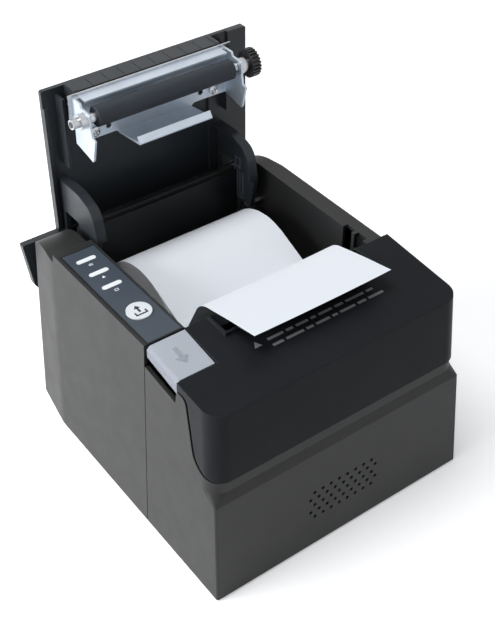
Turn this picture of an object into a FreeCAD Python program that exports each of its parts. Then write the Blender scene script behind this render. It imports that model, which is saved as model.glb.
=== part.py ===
import FreeCAD, Part
import math
import os
from FreeCAD import Vector

# Receipt printer for 80 mm rolls, drawn with its lid open, in millimetres.
# X runs to the right, Y to the back and Z up; the origin lies on the table
# under the middle of the base.

# Housing: outer sizes at the bottom edge, wall and draft
WIDTH = 154.0
DEPTH = 181.0
FOOT = 1.0
TOP = 115.0
WALL = 2.2
SIDE_DRAFT = 2.75
FRONT_DRAFT = 4.0
REAR_DRAFT = 2.75
CREASE_Y = 56.0
REAR_TAPER = 0.166
CREASE_ROUND = 25.0
REAR_ROUND = 8.0
SHARP_ROUND = 1.2
COVER_ROUND = 9.0
BAND_ROUND = 8.5
SEAM_Y = -29.5
SEAM_GAP = 0.5
FIT = 0.3
RUNNING = 0.05
PLATE_FIT = 0.2

# How far a cutting shape runs past the solid it cuts
PAST = 5.0
OVER = 20.0

# Front panel and the curved split between the base and the cutter cover
PANEL_TOP = 60.0
BAND_LOW = 65.2
BAND_BACK = 1.6
SPLIT_FRONT = 67.5
SPLIT_PEAK = 107.2
SPLIT_PEAK_Y = -61.8
SPLIT_PEAK_ROUND = 4.0
SPLIT_FOOT = 74.6
SPLIT_FOOT_Y = -69.2
SPLIT_FOOT_ROUND = 12.0
SPLIT_END_Y = -97.0
SPLIT_GAP = 1.5
LEVER_SILL_REAR = 103.9
LEVER_SILL_FRONT = 100.0
LEVER_FRONT_Y = -55.2
LEVER_REAR_Y = -30.5
LEVER_AXLE_Y = -49.3
LEVER_AXLE_DOWN = 5.4
LEVER_AXLE_R = 1.5
LEVER_FINGER_Z = 100.0
LEVER_BEVEL = 1.6
LEVER_SKIN = 2.2
LEVER_SIDE = 1.6
LEVER_TILT = 2.0
LEVER_OUT = 1.5
LEVER_SEAT_OFF = 0.400044
LEVER_WALL = 1.8
LEVER_OVER = 0.1
LEVER_SEAT_W = 6.0
LEVER_SEAT_HALF = 2.4
LEVER_SEAT_Z = 70.0
COVER_SLOPE = 5.0
HOLE_D = 2.1
HOLE_PITCH = 5.1
HOLE_ROW = 4.05
HOLE_MID_Z = 27.5
HOLE_ROWS = 5
HOLES_SHORT = 8
HOLE_SIDES = 6
POST_SIDES = 8
DRUM_SIDES = 16
SPEAKER_R = 14.0
MAGNET_R = 8.0
SPEAKER_STEP = 4.0
SPEAKER_GAP = 1.4

# Paper exit in the cover, with its raised rim
EXIT_SIDE = 3.25
EXIT_OFF = 0.6
EXIT_FRONT = -43.0
EXIT_RIM = 1.4
EXIT_RIM_UP = 0.6
EXIT_RIM_DEEP = 4.0
COVER_LIP_HALF = 70.0
COVER_LIP = 3.2

# Left column, right ledge and paper bin
COLUMN_IN = -49.8
LEDGE_IN = 62.1
LEDGE_Z = 110.7
SEAT_DROP = 4.3
STEP_Y = 53.5
INNER_WALL = 2.0
BIN_FLOOR = 31.0
BIN_FRONT = -1.0
BIN_REAR = 71.5
BIN_FRONT_ROUND = 18.0
BIN_REAR_ROUND = 30.0
GUIDE_Z = 76.0
SLOT_LEFT = -41.0
SLOT_RIGHT = 52.0
SLOT_LOW = 66.0
SLOT_FRONT = 55.0
NOTCHES = (-13.9, -22.6)
NOTCH_W = 6.5
NOTCH_LOW = 94.0

# Hinge of the lid
HINGE_Z = 86.8
HINGE_BACK = 21.07873
PIN_D = 5.0
BOSS_R = 6.5

# Lid
LID_GAP = 0.5
LID_FRONT = -27.8
LID_SKIN = 2.4
LID_RIM = 2.0
CHEEK = 2.5
CHEEK_LEFT = -45.3
CHEEK_RIGHT = 55.0
FLANGE = 3.0
FLANGE_SKIN = 1.7
MARGIN_X = 47.0
LIP_PARTS = 9
LIP_EAR = 1.8

# Paper
PAPER_W = 79.5
PAPER_X = 6.0
ROLL_R = 34.1
ROLL_Y = 35.1
CORE_R = 9.0
CORE_WALL = 2.5
CORE_OUT = 0.4
STRIP = 0.35
STRIP_LIFT = 0.5
STRIP_OFF = 112.0
STRIP_END = (-60.8, 123.8)

# Platen group on the lid, closed position
PLATEN_Y = -20.4
PLATEN_Z = 88.7
PLATEN_R = 5.2
SHAFT_D = 5.0
SHAFT_LEFT = -47.0
BUSH_D = 8.0
BUSH_L = 3.6
GEAR_R = 7.5
GEAR_TEETH = 24
GEAR_W = 4.5
GEAR_X = 55.5
TOOTH = 0.9
IDLER_R = 7.5
IDLER_TEETH = 24
PINION_R = 4.2
PINION_TEETH = 12
SHEET = 1.2
EAR_HALF = 44.9
EAR_OFF = 0.5
FLANGE_Z = 98.5

# Control panel
PANEL_OFF = 0.2
PANEL_MARGIN = 2.1241
PANEL_GAP = 0.8
PANEL_FRONT = -28.9
PANEL_REAR = 49.3
SHEET_SKIN = 0.5
PANEL_DEEP = 10.0
PANEL_BOARD_DOWN = 9.4
PEG_R = 1.8
LED_Y = 40.5
LED_PITCH = 12.0
LED_EDGE = 4.150044
LED_W = 2.8
BUTTON_Y = -7.4
BUTTON_EDGE = 3.200044
BUTTON_SKIRT = 1.4
LED_GAP = 0.15

# Inside and back
PLATE = 2.5
BOARD_Z = 8.0
BOARD = 1.6
BOARD_HALF = 60.0
BOARD_FRONT = -10.0
BOARD_BACK = 6.1638
PILLAR_R = 4.0
PEDESTAL_R = 3.0
PEDESTAL_GAP = 0.6
TUB_POSTS = [(x, y) for x in (-20.0, 20.0) for y in (20.0, 50.0)]
FOOT_R = 7.0
FOOT_SPOTS = [(x, y) for x in (-60.0, 60.0) for y in (-74.0, 72.0)]
CHASSIS_LEFT = -43.2
CHASSIS_RIGHT = 53.0
CHASSIS_Z = 50.0
CHASSIS_FRONT = -62.0
CHASSIS_REAR = -10.0
CHASSIS_TOP = 93.4
HEAD_Y = -28.3
HEAD_PLATE = 3.1
HEAD_LEFT = -37.0
HEAD_RIGHT = 48.0
HEAD_LOW = 78.0
HEAD_TOP = 98.0
LATCH_Y = -20.0
LATCH_Z = 64.0
LATCH_R = 2.0
LATCH_PIN_R = 1.6
HOOK = 1.4
HOOK_LEFT = -46.8
HOOK_RIGHT = 51.3
REAR_PANEL_LEFT = -57.0
REAR_PANEL_RIGHT = 61.0
REAR_PANEL_TOP = 34.0
REAR_PANEL_FRONT = 75.0
SOCKET_ROOM = 70.0
SOCKET_SINK = 0.6
SWITCH_SINK = 0.4
SWITCH_DEEP = 14.0
SWITCH_CUP = 9.0
SWITCH_WALL = 1.2
SWITCH_SIDE = 0.5
ROCKER_DEEP = 5.0393
ROCKER_AXLE_R = 1.0

# Cutter under the cover
CUTTER_CLEAR = 10.5283
CUTTER_REAR = -33.2
CUTTER_Z = 96.6
CUTTER_WALL_TOP = 104.0
BLADE_Z = 98.1
BLADE_BACK = 20.000043
BLADE_TIP = -34.0
BLADE_V = 3.5
BLADE_SIDE = 3.0
WHEEL_BACK = 11.0
WHEEL_LEFT = 6.0
WHEEL_R = 10.0
WHEEL_Z = 99.6
STUD_R = 2.0
CUTTER_MOTOR_BACK = 9.0
CUTTER_MOTOR_Z = 88.6
CUTTER_MOTOR_X = -36.0
CUTTER_MOTOR_L = 22.0
CUTTER_MOTOR_R = 7.6

# Feed drive on the right
MESH_GAP = 0.35
IDLER_ANGLE = 44.0
PINION_ANGLE = 30.0
IDLER_STUD_R = 1.5
MOTOR_R = 11.5
MOTOR_L = 26.0
MOTOR_SHAFT_R = 2.0

# Sockets and switch at the back: middle x and z, width and height
SOCKETS = {
    "power_inlet": (-44.0, 19.0, 12.0, 12.0),
    "drawer_socket": (-22.0, 19.0, 13.0, 13.5),
    "usb_socket": (2.0, 18.5, 12.5, 11.5),
    "network_socket": (25.0, 19.0, 16.5, 14.0),
    "power_switch": (50.0, 21.0, 13.0, 19.5),
}


def tan(angle):
    """Tangent of an angle in degrees."""
    return math.tan(math.radians(angle))


def half_width(z):
    """Half the housing's width at height z."""
    return WIDTH / 2 - (z - FOOT) * tan(SIDE_DRAFT)


def front_y(z):
    """Front face of the housing at height z."""
    return -DEPTH / 2 + (z - FOOT) * tan(FRONT_DRAFT)


def rear_y(z):
    """Back face of the housing at height z."""
    return DEPTH / 2 - (z - FOOT) * tan(REAR_DRAFT)


PANEL_LEFT = PANEL_MARGIN - half_width(TOP)
PANEL_RIGHT = COLUMN_IN - PANEL_GAP
PANEL_X = (PANEL_LEFT + PANEL_RIGHT) / 2 - PANEL_OFF
PANEL_HALF = (PANEL_RIGHT - PANEL_LEFT) / 2
BUTTON_R = PANEL_HALF - BUTTON_EDGE
LED_L = 2 * (PANEL_HALF - LED_EDGE)
LEVER_LEFT = PANEL_LEFT - LEVER_OUT
LEVER_RIGHT = PANEL_RIGHT + LEVER_OVER
CUTTER_FRONT = front_y(TOP) + CUTTER_CLEAR
HINGE_Y = rear_y(HINGE_Z) - HINGE_BACK
EXIT_X = PAPER_X + EXIT_OFF
EAR_X = PAPER_X - EAR_OFF
EXIT_HALF = PAPER_W / 2 + EXIT_SIDE
ROLL_Z = BIN_FLOOR + FIT + ROLL_R


def flat(u, v):
    """Spot in a plan."""
    return Vector(u, v, 0)


def sideways(u, v):
    """Spot in a side profile."""
    return Vector(0, u, v)


def upright(u, v):
    """Spot in a front profile."""
    return Vector(u, 0, v)


def path_edges(points, place, closed=True):
    """Lines through the points (u, v, radius), with an arc at each rounded corner."""
    count = len(points)
    spots = []
    for i, point in enumerate(points):
        here = place(point[0], point[1])
        radius = point[2] if len(point) > 2 else 0
        end = not closed and i in (0, count - 1)
        if radius <= 0 or end:
            spots.append((here, None, here))
            continue
        before = place(*points[i - 1][:2]) - here
        after = place(*points[(i + 1) % count][:2]) - here
        before.normalize()
        after.normalize()
        half = before.getAngle(after) / 2
        reach = radius / math.tan(half)
        bisector = before + after
        bisector.normalize()
        middle = here + bisector * (radius / math.sin(half) - radius)
        spots.append((here + before * reach, middle, here + after * reach))
    edges = []
    last = count if closed else count - 1
    for i in range(count):
        start, middle, end = spots[i]
        if middle is not None:
            edges.append(Part.Arc(start, middle, end).toShape())
        if i < last:
            target = spots[(i + 1) % count][0]
            if (target - end).Length > 1e-6:
                edges.append(Part.makeLine(end, target))
    return edges


def face(points, place):
    """Flat face inside a closed outline."""
    return Part.Face(Part.Wire(path_edges(points, place)))


def plate_x(points, x0, x1):
    """Side profile of (y, z, radius) points, drawn out along X."""
    blank = face(points, sideways)
    blank.translate(Vector(x0, 0, 0))
    return blank.extrude(Vector(x1 - x0, 0, 0))


def plate_y(points, y0, y1):
    """Front profile of (x, z, radius) points, drawn out along Y."""
    blank = face(points, upright)
    blank.translate(Vector(0, y0, 0))
    return blank.extrude(Vector(0, y1 - y0, 0))


def plate_z(points, z0, z1):
    """Plan of (x, y, radius) points, drawn out upwards."""
    blank = face(points, flat)
    blank.translate(Vector(0, 0, z0))
    return blank.extrude(Vector(0, 0, z1 - z0))


def box(x0, x1, y0, y1, z0, z1):
    """Box between two values along each axis."""
    return Part.makeBox(x1 - x0, y1 - y0, z1 - z0, Vector(x0, y0, z0))


def rod_x(x0, x1, y, z, r):
    """Round rod along X."""
    return Part.makeCylinder(r, x1 - x0, Vector(x0, y, z), Vector(1, 0, 0))


def rod_y(y0, y1, x, z, r):
    """Round rod along Y."""
    return Part.makeCylinder(r, y1 - y0, Vector(x, y0, z), Vector(0, 1, 0))


def rod_z(z0, z1, x, y, r):
    """Round rod along Z."""
    return Part.makeCylinder(r, z1 - z0, Vector(x, y, z0))


def ring(u, v, r, sides):
    """Corners of a regular many-sided outline."""
    turn = 2 * math.pi / sides
    return [(u + r * math.cos(i * turn), v + r * math.sin(i * turn)) for i in range(sides)]


def post(x, y, r, z0, z1):
    """Moulded post with flat sides."""
    return plate_z(ring(x, y, r, POST_SIDES), z0, z1)


def drum_x(x0, x1, y, z, r):
    """Drum or pin along X with flat sides."""
    return plate_x(ring(y, z, r, DRUM_SIDES), x0, x1)


def outline(z, inset, front_round, back=0):
    """Edges of the housing's plan at height z: parallel sides, tapered towards the back."""
    w = half_width(z) - inset
    y0 = front_y(z) + inset + back
    y1 = rear_y(z) - inset
    wr = w - (y1 - CREASE_Y) * REAR_TAPER
    rear = REAR_ROUND - inset
    points = [(-w, y0, front_round), (w, y0, front_round), (w, CREASE_Y, CREASE_ROUND),
              (wr, y1, rear), (-wr, y1, rear), (-w, CREASE_Y, CREASE_ROUND)]
    edges = path_edges(points, flat)
    for edge in edges:
        edge.translate(Vector(0, 0, z))
    return edges


def wall_face(low, high):
    """Wall between two edges of the plan: flat between lines, ruled between arcs."""
    if isinstance(low.Curve, Part.Line):
        a, b = [v.Point for v in low.Vertexes]
        c, d = [v.Point for v in high.Vertexes]
        return Part.Face(Part.makePolygon([a, b, d, c, a]))
    return Part.makeRuledSurface(low, high)


def block(levels, inset):
    """Drafted housing solid through levels of (z, front corner radius, set back of the front)."""
    plans = [outline(z, inset, max(r - inset, 0.4), back) for z, r, back in levels]
    faces = [Part.Face(Part.Wire(plans[0])), Part.Face(Part.Wire(plans[-1]))]
    for low, high in zip(plans, plans[1:]):
        faces += [wall_face(a, b) for a, b in zip(low, high)]
    shell = Part.makeShell(faces)
    shell.sewShape()
    body = Part.makeSolid(shell)
    if body.Volume < 0:
        body.reverse()
    return body


def drafted(z0, z1, inset, front_round):
    """Drafted housing solid with flat walls; its upright corners are rounded afterwards."""
    plans = []
    for z in (z0, z1):
        w = half_width(z) - inset
        y0 = front_y(z) + inset
        y1 = rear_y(z) - inset
        wr = w - (y1 - CREASE_Y) * REAR_TAPER
        corners = [(-w, y0), (w, y0), (w, CREASE_Y), (wr, y1), (-wr, y1), (-w, CREASE_Y)]
        plans.append([Vector(x, y, z) for x, y in corners])
    low, high = plans
    under = low[::-1]
    faces = [Part.Face(Part.makePolygon(under + under[:1])), Part.Face(Part.makePolygon(high + high[:1]))]
    for i in range(6):
        a, b = low[i - 1], low[i]
        faces.append(Part.Face(Part.makePolygon([a, b, high[i], high[i - 1], a])))
    shell = Part.makeShell(faces)
    shell.sewShape()
    body = Part.makeSolid(shell)
    for spots, radius in (((0, 1), front_round), ((2, 5), CREASE_ROUND), ((3, 4), REAR_ROUND - inset)):
        middles = [(low[i] + high[i]) / 2 for i in spots]
        edges = [e for e in body.Edges if min((e.CenterOfMass - m).Length for m in middles) < 0.01]
        body = body.makeFillet(radius, edges)
    return body


def front_levels(low):
    """Levels of the front body: upright panel, sloped band and the part beside the cover."""
    return [(low, SHARP_ROUND, 0), (PANEL_TOP, SHARP_ROUND, 0),
            (BAND_LOW, BAND_ROUND, BAND_BACK), (TOP, COVER_ROUND, BAND_BACK)]


def split_region(lift):
    """Everything above the curved split line, raised by lift."""
    far = -DEPTH
    points = [(SEAM_Y + PAST, SPLIT_PEAK + lift), (SPLIT_PEAK_Y - lift, SPLIT_PEAK + lift, SPLIT_PEAK_ROUND),
              (SPLIT_FOOT_Y - lift, SPLIT_FOOT + lift, SPLIT_FOOT_ROUND), (SPLIT_END_Y, SPLIT_FRONT + lift),
              (far, SPLIT_FRONT + lift), (far, TOP + OVER), (SEAM_Y + PAST, TOP + OVER)]
    return plate_x(points, -WIDTH, WIDTH)


def lever_sill():
    """Dip in the left wall that shows the recess below the push lever."""
    points = [(SEAM_Y + PAST, LEVER_SILL_REAR), (LEVER_FRONT_Y + 0.6, LEVER_SILL_FRONT),
              (LEVER_FRONT_Y + 0.2, SPLIT_PEAK - 1.5), (LEVER_FRONT_Y - 2, SPLIT_PEAK + 1, 1.0),
              (SEAM_Y + PAST, TOP)]
    return plate_x(points, -WIDTH, COLUMN_IN)


def front_half():
    """Everything in front of the seam."""
    return box(-WIDTH, WIDTH, -DEPTH, SEAM_Y - SEAM_GAP / 2, 0, TOP + OVER)


def grille():
    """Sound holes in staggered rows."""
    holes = []
    for row in range(HOLE_ROWS):
        count = HOLES_SHORT + row % 2
        z = HOLE_MID_Z + (HOLE_ROWS // 2 - row) * HOLE_ROW
        for i in range(count):
            x = (i - (count - 1) / 2) * HOLE_PITCH
            outer = ring(x, z, HOLE_D / 2, HOLE_SIDES)
            holes.append(plate_y(outer, -DEPTH / 2 - PAST, -DEPTH / 2 + 2 * PAST))
    return Part.makeCompound(holes)


def front_housing():
    """Front shell below the curved split, with the sound holes."""
    shell = block(front_levels(FOOT), 0).cut(block(front_levels(FOOT - 1), WALL))
    shell = shell.common(front_half()).cut(split_region(0)).cut(lever_sill())
    return shell.cut(grille())


def cover_solid(inset):
    """Cutter cover form with its sloped top."""
    body = drafted(BAND_LOW - PAST, TOP + 2, inset, COVER_ROUND - inset)
    drop = (SEAM_Y + DEPTH / 2) * tan(COVER_SLOPE)
    top = [(SEAM_Y, TOP - inset), (-DEPTH / 2, TOP - inset - drop), (-DEPTH, TOP - inset - drop),
           (-DEPTH, TOP + OVER), (DEPTH, TOP + OVER), (DEPTH, TOP - inset)]
    body = body.cut(plate_x(top, -WIDTH, WIDTH))
    return body.common(box(-WIDTH, WIDTH, -DEPTH, SEAM_Y - SEAM_GAP / 2 + inset, 0, TOP + OVER))


def exit_notch(grow, z0, z1):
    """Paper exit at the back of the cover."""
    return box(EXIT_X - EXIT_HALF - grow, EXIT_X + EXIT_HALF + grow, EXIT_FRONT - grow, SEAM_Y + PAST, z0, z1)


def lever_pocket():
    """Gap in the cover that the push lever stands in."""
    low = LEVER_SILL_FRONT - PAST
    return box(-WIDTH, PANEL_RIGHT + SEAM_GAP, LEVER_FRONT_Y - FIT, SEAM_Y + PAST, low, TOP + PAST)


def front_cover():
    """Cutter cover with the rimmed paper exit and the gap for the lever."""
    shell = cover_solid(0).cut(cover_solid(WALL)).common(split_region(SPLIT_GAP))
    back = box(-WIDTH, WIDTH, SEAM_Y - WALL, SEAM_Y + PAST, 0, TOP + PAST)
    shell = shell.cut(back.common(box(-COVER_LIP_HALF, COVER_LIP_HALF, -DEPTH, DEPTH, 0, TOP - COVER_LIP)))
    rim = exit_notch(EXIT_RIM, TOP - EXIT_RIM_DEEP, TOP + EXIT_RIM_UP).common(front_half())
    rim = rim.cut(cover_solid(WALL))
    shell = shell.fuse(rim).cut(exit_notch(0, PANEL_TOP, TOP + PAST))
    return shell.cut(lever_pocket()).removeSplitter()


def top_profile(drop):
    """Region above the housing's back end, where the lid's tail swings."""
    seat = TOP - SEAT_DROP - drop
    radius = seat - HINGE_Z
    turn = radius * math.sqrt(0.5)
    start = sideways(HINGE_Y, seat)
    middle = sideways(HINGE_Y + turn, HINGE_Z + turn)
    end = sideways(HINGE_Y + radius, HINGE_Z)
    front = STEP_Y - drop
    high = TOP + OVER
    corners = [end, sideways(DEPTH, HINGE_Z), sideways(DEPTH, high), sideways(front, high),
               sideways(front, seat), start]
    edges = [Part.Arc(start, middle, end).toShape()]
    edges += [Part.makeLine(a, b) for a, b in zip(corners, corners[1:])]
    blank = Part.Face(Part.Wire(edges))
    blank.translate(Vector(-WIDTH, 0, 0))
    return blank.extrude(Vector(2 * WIDTH, 0, 0))


def rear_half(gap):
    """Everything behind the seam."""
    return box(-WIDTH, WIDTH, SEAM_Y + gap, DEPTH, 0, TOP + OVER)


def cheek_slots():
    """Slots in the back end for the lid's arms."""
    high = TOP + OVER
    left = box(COLUMN_IN, SLOT_LEFT, SLOT_FRONT, DEPTH, SLOT_LOW, high)
    return left.fuse(box(SLOT_RIGHT, LEDGE_IN, SLOT_FRONT, DEPTH, SLOT_LOW, high))


def housing_hollow():
    """Room inside the rear body, less the ledge and the inner walls beside the bin and the arms."""
    high = TOP + OVER
    hollow = drafted(FOOT - 1, TOP - WALL, WALL, SHARP_ROUND).common(rear_half(-PAST)).cut(top_profile(WALL))
    hollow = hollow.cut(box(COLUMN_IN - 1, WIDTH, -DEPTH, STEP_Y, LEDGE_Z - WALL, high))
    low = BIN_FLOOR - INNER_WALL
    walls = box(COLUMN_IN - INNER_WALL, COLUMN_IN, -DEPTH, DEPTH, low, high)
    walls = walls.fuse(box(LEDGE_IN, LEDGE_IN + INNER_WALL, -DEPTH, DEPTH, low, high))
    for x in (SLOT_LEFT, SLOT_RIGHT - INNER_WALL):
        walls = walls.fuse(box(x, x + INNER_WALL, BIN_REAR + INNER_WALL, DEPTH, SLOT_LOW - INNER_WALL, high))
    return hollow.cut(walls)


def rear_openings():
    """Openings for the sockets and the switch."""
    cut = []
    for x, z, w, h in SOCKETS.values():
        low = min(z - h / 2, BOARD_Z + BOARD) - FIT
        cut.append(box(x - w / 2 - FIT, x + w / 2 + FIT, SOCKET_ROOM, DEPTH, low, z + h / 2 + FIT))
    return Part.makeCompound(cut)


def panel_cuts():
    """Recess for the film, windows for the lamps and the bore for the button."""
    gap = PLATE_FIT
    low = TOP - SHEET_SKIN
    cuts = [box(PANEL_LEFT - gap, PANEL_RIGHT + gap, PANEL_FRONT - gap, PANEL_REAR + gap, low, TOP + 1)]
    a = LED_L / 2 + FIT
    b = LED_W / 2 + FIT
    for i in range(3):
        y = LED_Y - i * LED_PITCH
        cuts.append(box(PANEL_X - a, PANEL_X + a, y - b, y + b, TOP - PANEL_DEEP, TOP))
    cuts.append(rod_z(TOP - PANEL_DEEP, TOP + 1, PANEL_X, BUTTON_Y, BUTTON_R + FIT))
    return Part.makeCompound(cuts)


def led(i, z0, z1, grow):
    """Round-ended lamp window."""
    y = LED_Y - i * LED_PITCH
    a = LED_L / 2 + grow
    b = LED_W / 2 + grow
    points = [(PANEL_X - a, y - b, b - 0.01), (PANEL_X + a, y - b, b - 0.01),
              (PANEL_X + a, y + b, b - 0.01), (PANEL_X - a, y + b, b - 0.01)]
    return plate_z(points, z0, z1)


def rear_panel_region():
    """Part of the back wall that the socket plate fills."""
    return box(REAR_PANEL_LEFT, REAR_PANEL_RIGHT, REAR_PANEL_FRONT, DEPTH, FOOT - 1, REAR_PANEL_TOP)


def rear_panel():
    """Plate of the back wall that frames the sockets."""
    wall = drafted(FOOT, TOP, 0, SHARP_ROUND).cut(drafted(FOOT - 1, TOP + 1, WALL, SHARP_ROUND))
    return wall.common(rear_panel_region()).cut(rear_openings())


def main_housing():
    """Rear shell with the control column, the right ledge and the open paper bin."""
    body = drafted(FOOT, TOP, 0, SHARP_ROUND).common(rear_half(SEAM_GAP / 2)).cut(top_profile(0))
    body = body.cut(box(COLUMN_IN, WIDTH, -DEPTH, STEP_Y + 1, LEDGE_Z, TOP + OVER))
    body = body.cut(housing_hollow())
    low = BIN_FLOOR - INNER_WALL
    body = body.cut(box(COLUMN_IN, LEDGE_IN, -DEPTH, BIN_REAR + INNER_WALL, low, TOP + OVER))
    body = body.cut(cheek_slots()).cut(rear_panel_region()).cut(panel_cuts())
    for y in NOTCHES:
        body = body.cut(box(LEDGE_IN - 1, LEDGE_IN + INNER_WALL + 1, y, y + NOTCH_W, NOTCH_LOW, TOP))
    for y in (BUTTON_Y + 14, LED_Y + 6):
        body = body.fuse(post(PANEL_X + 5, y, PEG_R, TOP - PANEL_BOARD_DOWN, TOP - 2))
    return body.cut(hinge_pins_shape(0)).removeSplitter()


def hinge_pins_shape(grow):
    """Two short hinge pins, widened by grow."""
    r = PIN_D / 2 + grow
    left = rod_x(COLUMN_IN - INNER_WALL, CHEEK_LEFT + CHEEK + FIT, HINGE_Y, HINGE_Z, r)
    right = rod_x(CHEEK_RIGHT - CHEEK - FIT, LEDGE_IN + INNER_WALL, HINGE_Y, HINGE_Z, r)
    return Part.makeCompound([left, right])


def paper_tub():
    """Rounded trough that the roll lies in, with a lip towards the print head."""
    t = INNER_WALL
    high = TOP - 8
    points = [(BIN_FRONT, GUIDE_Z), (BIN_FRONT, BIN_FLOOR, BIN_FRONT_ROUND),
              (BIN_REAR, BIN_FLOOR, BIN_REAR_ROUND), (BIN_REAR, high), (BIN_REAR + t, high),
              (BIN_REAR + t, BIN_FLOOR - t, BIN_REAR_ROUND + t),
              (BIN_FRONT - t, BIN_FLOOR - t, BIN_FRONT_ROUND + t), (BIN_FRONT - t, GUIDE_Z)]
    tub = plate_x(points, COLUMN_IN, LEDGE_IN)
    half = PAPER_W / 2 + 2
    lip = box(PAPER_X - half, PAPER_X + half, -13.5, BIN_FRONT - t, GUIDE_Z - t, GUIDE_Z)
    return tub.fuse(lip).cut(cheek_slots()).removeSplitter()


def base_plate():
    """Floor with posts for the frame of the mechanism, the board and the paper bin."""
    floor = FOOT + PLATE
    plate = drafted(FOOT, floor, WALL + PLATE_FIT, SHARP_ROUND)
    for x in (-38.0, 48.0):
        for y in (-58.0, -18.0):
            plate = plate.fuse(post(x, y, PILLAR_R, floor - 1, CHASSIS_Z))
    for x in (-55.0, 55.0):
        for y in (-4.0, 66.0):
            plate = plate.fuse(post(x, y, PEDESTAL_R, floor - 1, BOARD_Z))
    for x, y in TUB_POSTS:
        plate = plate.fuse(post(x, y, PEDESTAL_R, floor - 1, BIN_FLOOR - INNER_WALL))
    y = front_y(HOLE_MID_Z) + WALL
    cradle = box(-10, 10, y + 2, y + 5, floor - 1, HOLE_MID_Z - 7)
    plate = plate.fuse(cradle.cut(rod_y(y, y + 9, 0, HOLE_MID_Z, SPEAKER_R)))
    return plate.removeSplitter()


def feet():
    """Four rubber pads."""
    pads = [plate_z(ring(x, y, FOOT_R, DRUM_SIDES), 0, FOOT) for x, y in FOOT_SPOTS]
    return Part.makeCompound(pads)


def main_board():
    """Circuit board with chips and capacitors, round the posts of the bin."""
    rear = rear_y(BOARD_Z) - BOARD_BACK
    board = box(-BOARD_HALF, BOARD_HALF, BOARD_FRONT, rear, BOARD_Z, BOARD_Z + BOARD)
    for x, y in TUB_POSTS:
        board = board.cut(post(x, y, PEDESTAL_R + PEDESTAL_GAP, 0, BOARD_Z + PAST))
    chips = [(-10, 10, 0, 20, 2.0), (-45, -32, 10, 30, 1.5), (30, 44, 0, 12, 2.5)]
    for x0, x1, y0, y1, h in chips:
        board = board.fuse(box(x0, x1, y0, y1, BOARD_Z + BOARD, BOARD_Z + BOARD + h))
    for x, y in ((-48, 52), (-36, 60), (38, 40)):
        board = board.fuse(post(x, y, 4.0, BOARD_Z + BOARD, BOARD_Z + BOARD + 12))
    return board.removeSplitter()


def socket(name, depth, mouth):
    """Socket body standing on the board, with its mouth cut."""
    x, z, w, h = SOCKETS[name]
    face_y = rear_y(z) - SOCKET_SINK
    body = box(x - w / 2, x + w / 2, face_y - depth, face_y, BOARD_Z + BOARD, z + h / 2)
    return body.cut(mouth(x, z, face_y))


def round_mouth(x, z, y):
    """Round socket mouth."""
    return rod_y(y - 8, y + 1, x, z + 0.5, 4.2)


def square_mouth(w, h):
    """Square socket mouth."""
    def cut(x, z, y):
        return box(x - w / 2, x + w / 2, y - 9, y + 1, z - h / 2, z + h / 2)
    return cut


def switch_frame():
    """Frame of the switch on a leg to the board."""
    x, z, w, h = SOCKETS["power_switch"]
    y = rear_y(z) - SWITCH_SINK
    a = w / 2 - SWITCH_WALL
    b = h / 2 - SWITCH_WALL
    half = w / 2 - SWITCH_SIDE
    body = box(x - w / 2, x + w / 2, y - SWITCH_DEEP, y, z - h / 2, z + h / 2)
    body = body.cut(box(x - a, x + a, y - SWITCH_CUP, y + 1, z - b, z + b))
    body = body.cut(rod_x(x - half, x + half, rear_y(z) - ROCKER_DEEP, z, ROCKER_AXLE_R + RUNNING))
    leg = box(x - 4, x + 4, y - SWITCH_DEEP, y - SWITCH_DEEP + 3, BOARD_Z + BOARD, z - h / 2)
    return body.fuse(leg).removeSplitter()


def switch_rocker():
    """Rocker with a hollow face, on a cross axle."""
    x, z, w, h = SOCKETS["power_switch"]
    y = rear_y(z) - SWITCH_SINK
    a = h / 2 - SWITCH_WALL - 0.7
    b = w / 2 - SWITCH_WALL - FIT
    half = w / 2 - SWITCH_SIDE - 0.1
    points = [(y - 3.6, z - a), (y + 0.6, z - a, 0.8), (y - 1.0, z), (y + 0.6, z + a, 0.8), (y - 3.6, z + a),
              (y - 6.0, z)]
    rocker = plate_x(points, x - b, x + b)
    axle = rod_x(x - half, x + half, rear_y(z) - ROCKER_DEEP, z, ROCKER_AXLE_R)
    return rocker.fuse(axle).removeSplitter()


def speaker():
    """Sounder behind the holes of the front."""
    y = front_y(HOLE_MID_Z) + WALL
    middle = y + SPEAKER_GAP + SPEAKER_STEP
    cone = plate_y(ring(0, HOLE_MID_Z, SPEAKER_R, DRUM_SIDES), y + SPEAKER_GAP, middle)
    magnet = plate_y(ring(0, HOLE_MID_Z, MAGNET_R, DRUM_SIDES), middle, middle + SPEAKER_STEP)
    return cone.fuse(magnet).removeSplitter()


def panel_overlay():
    """Film with three lamp windows and a hole for the button."""
    sheet = box(PANEL_LEFT, PANEL_RIGHT, PANEL_FRONT, PANEL_REAR, TOP - SHEET_SKIN, TOP)
    for i in range(3):
        sheet = sheet.cut(led(i, TOP - 2, TOP + 1, LED_GAP))
    return sheet.cut(rod_z(TOP - 2, TOP + 1, PANEL_X, BUTTON_Y, BUTTON_R + FIT))


def led_bars():
    """Three light guides."""
    return Part.makeCompound([led(i, TOP - PANEL_BOARD_DOWN, TOP + 0.1, 0) for i in range(3)])


def panel_board():
    """Small board under the control column, with the peg under the button."""
    z = TOP - PANEL_BOARD_DOWN
    board = box(PANEL_LEFT + 0.4, PANEL_RIGHT - 2.4, -18, 48, z - BOARD, z)
    return board.fuse(post(PANEL_X, BUTTON_Y, PEG_R, z, TOP - 5.6)).removeSplitter()


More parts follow.
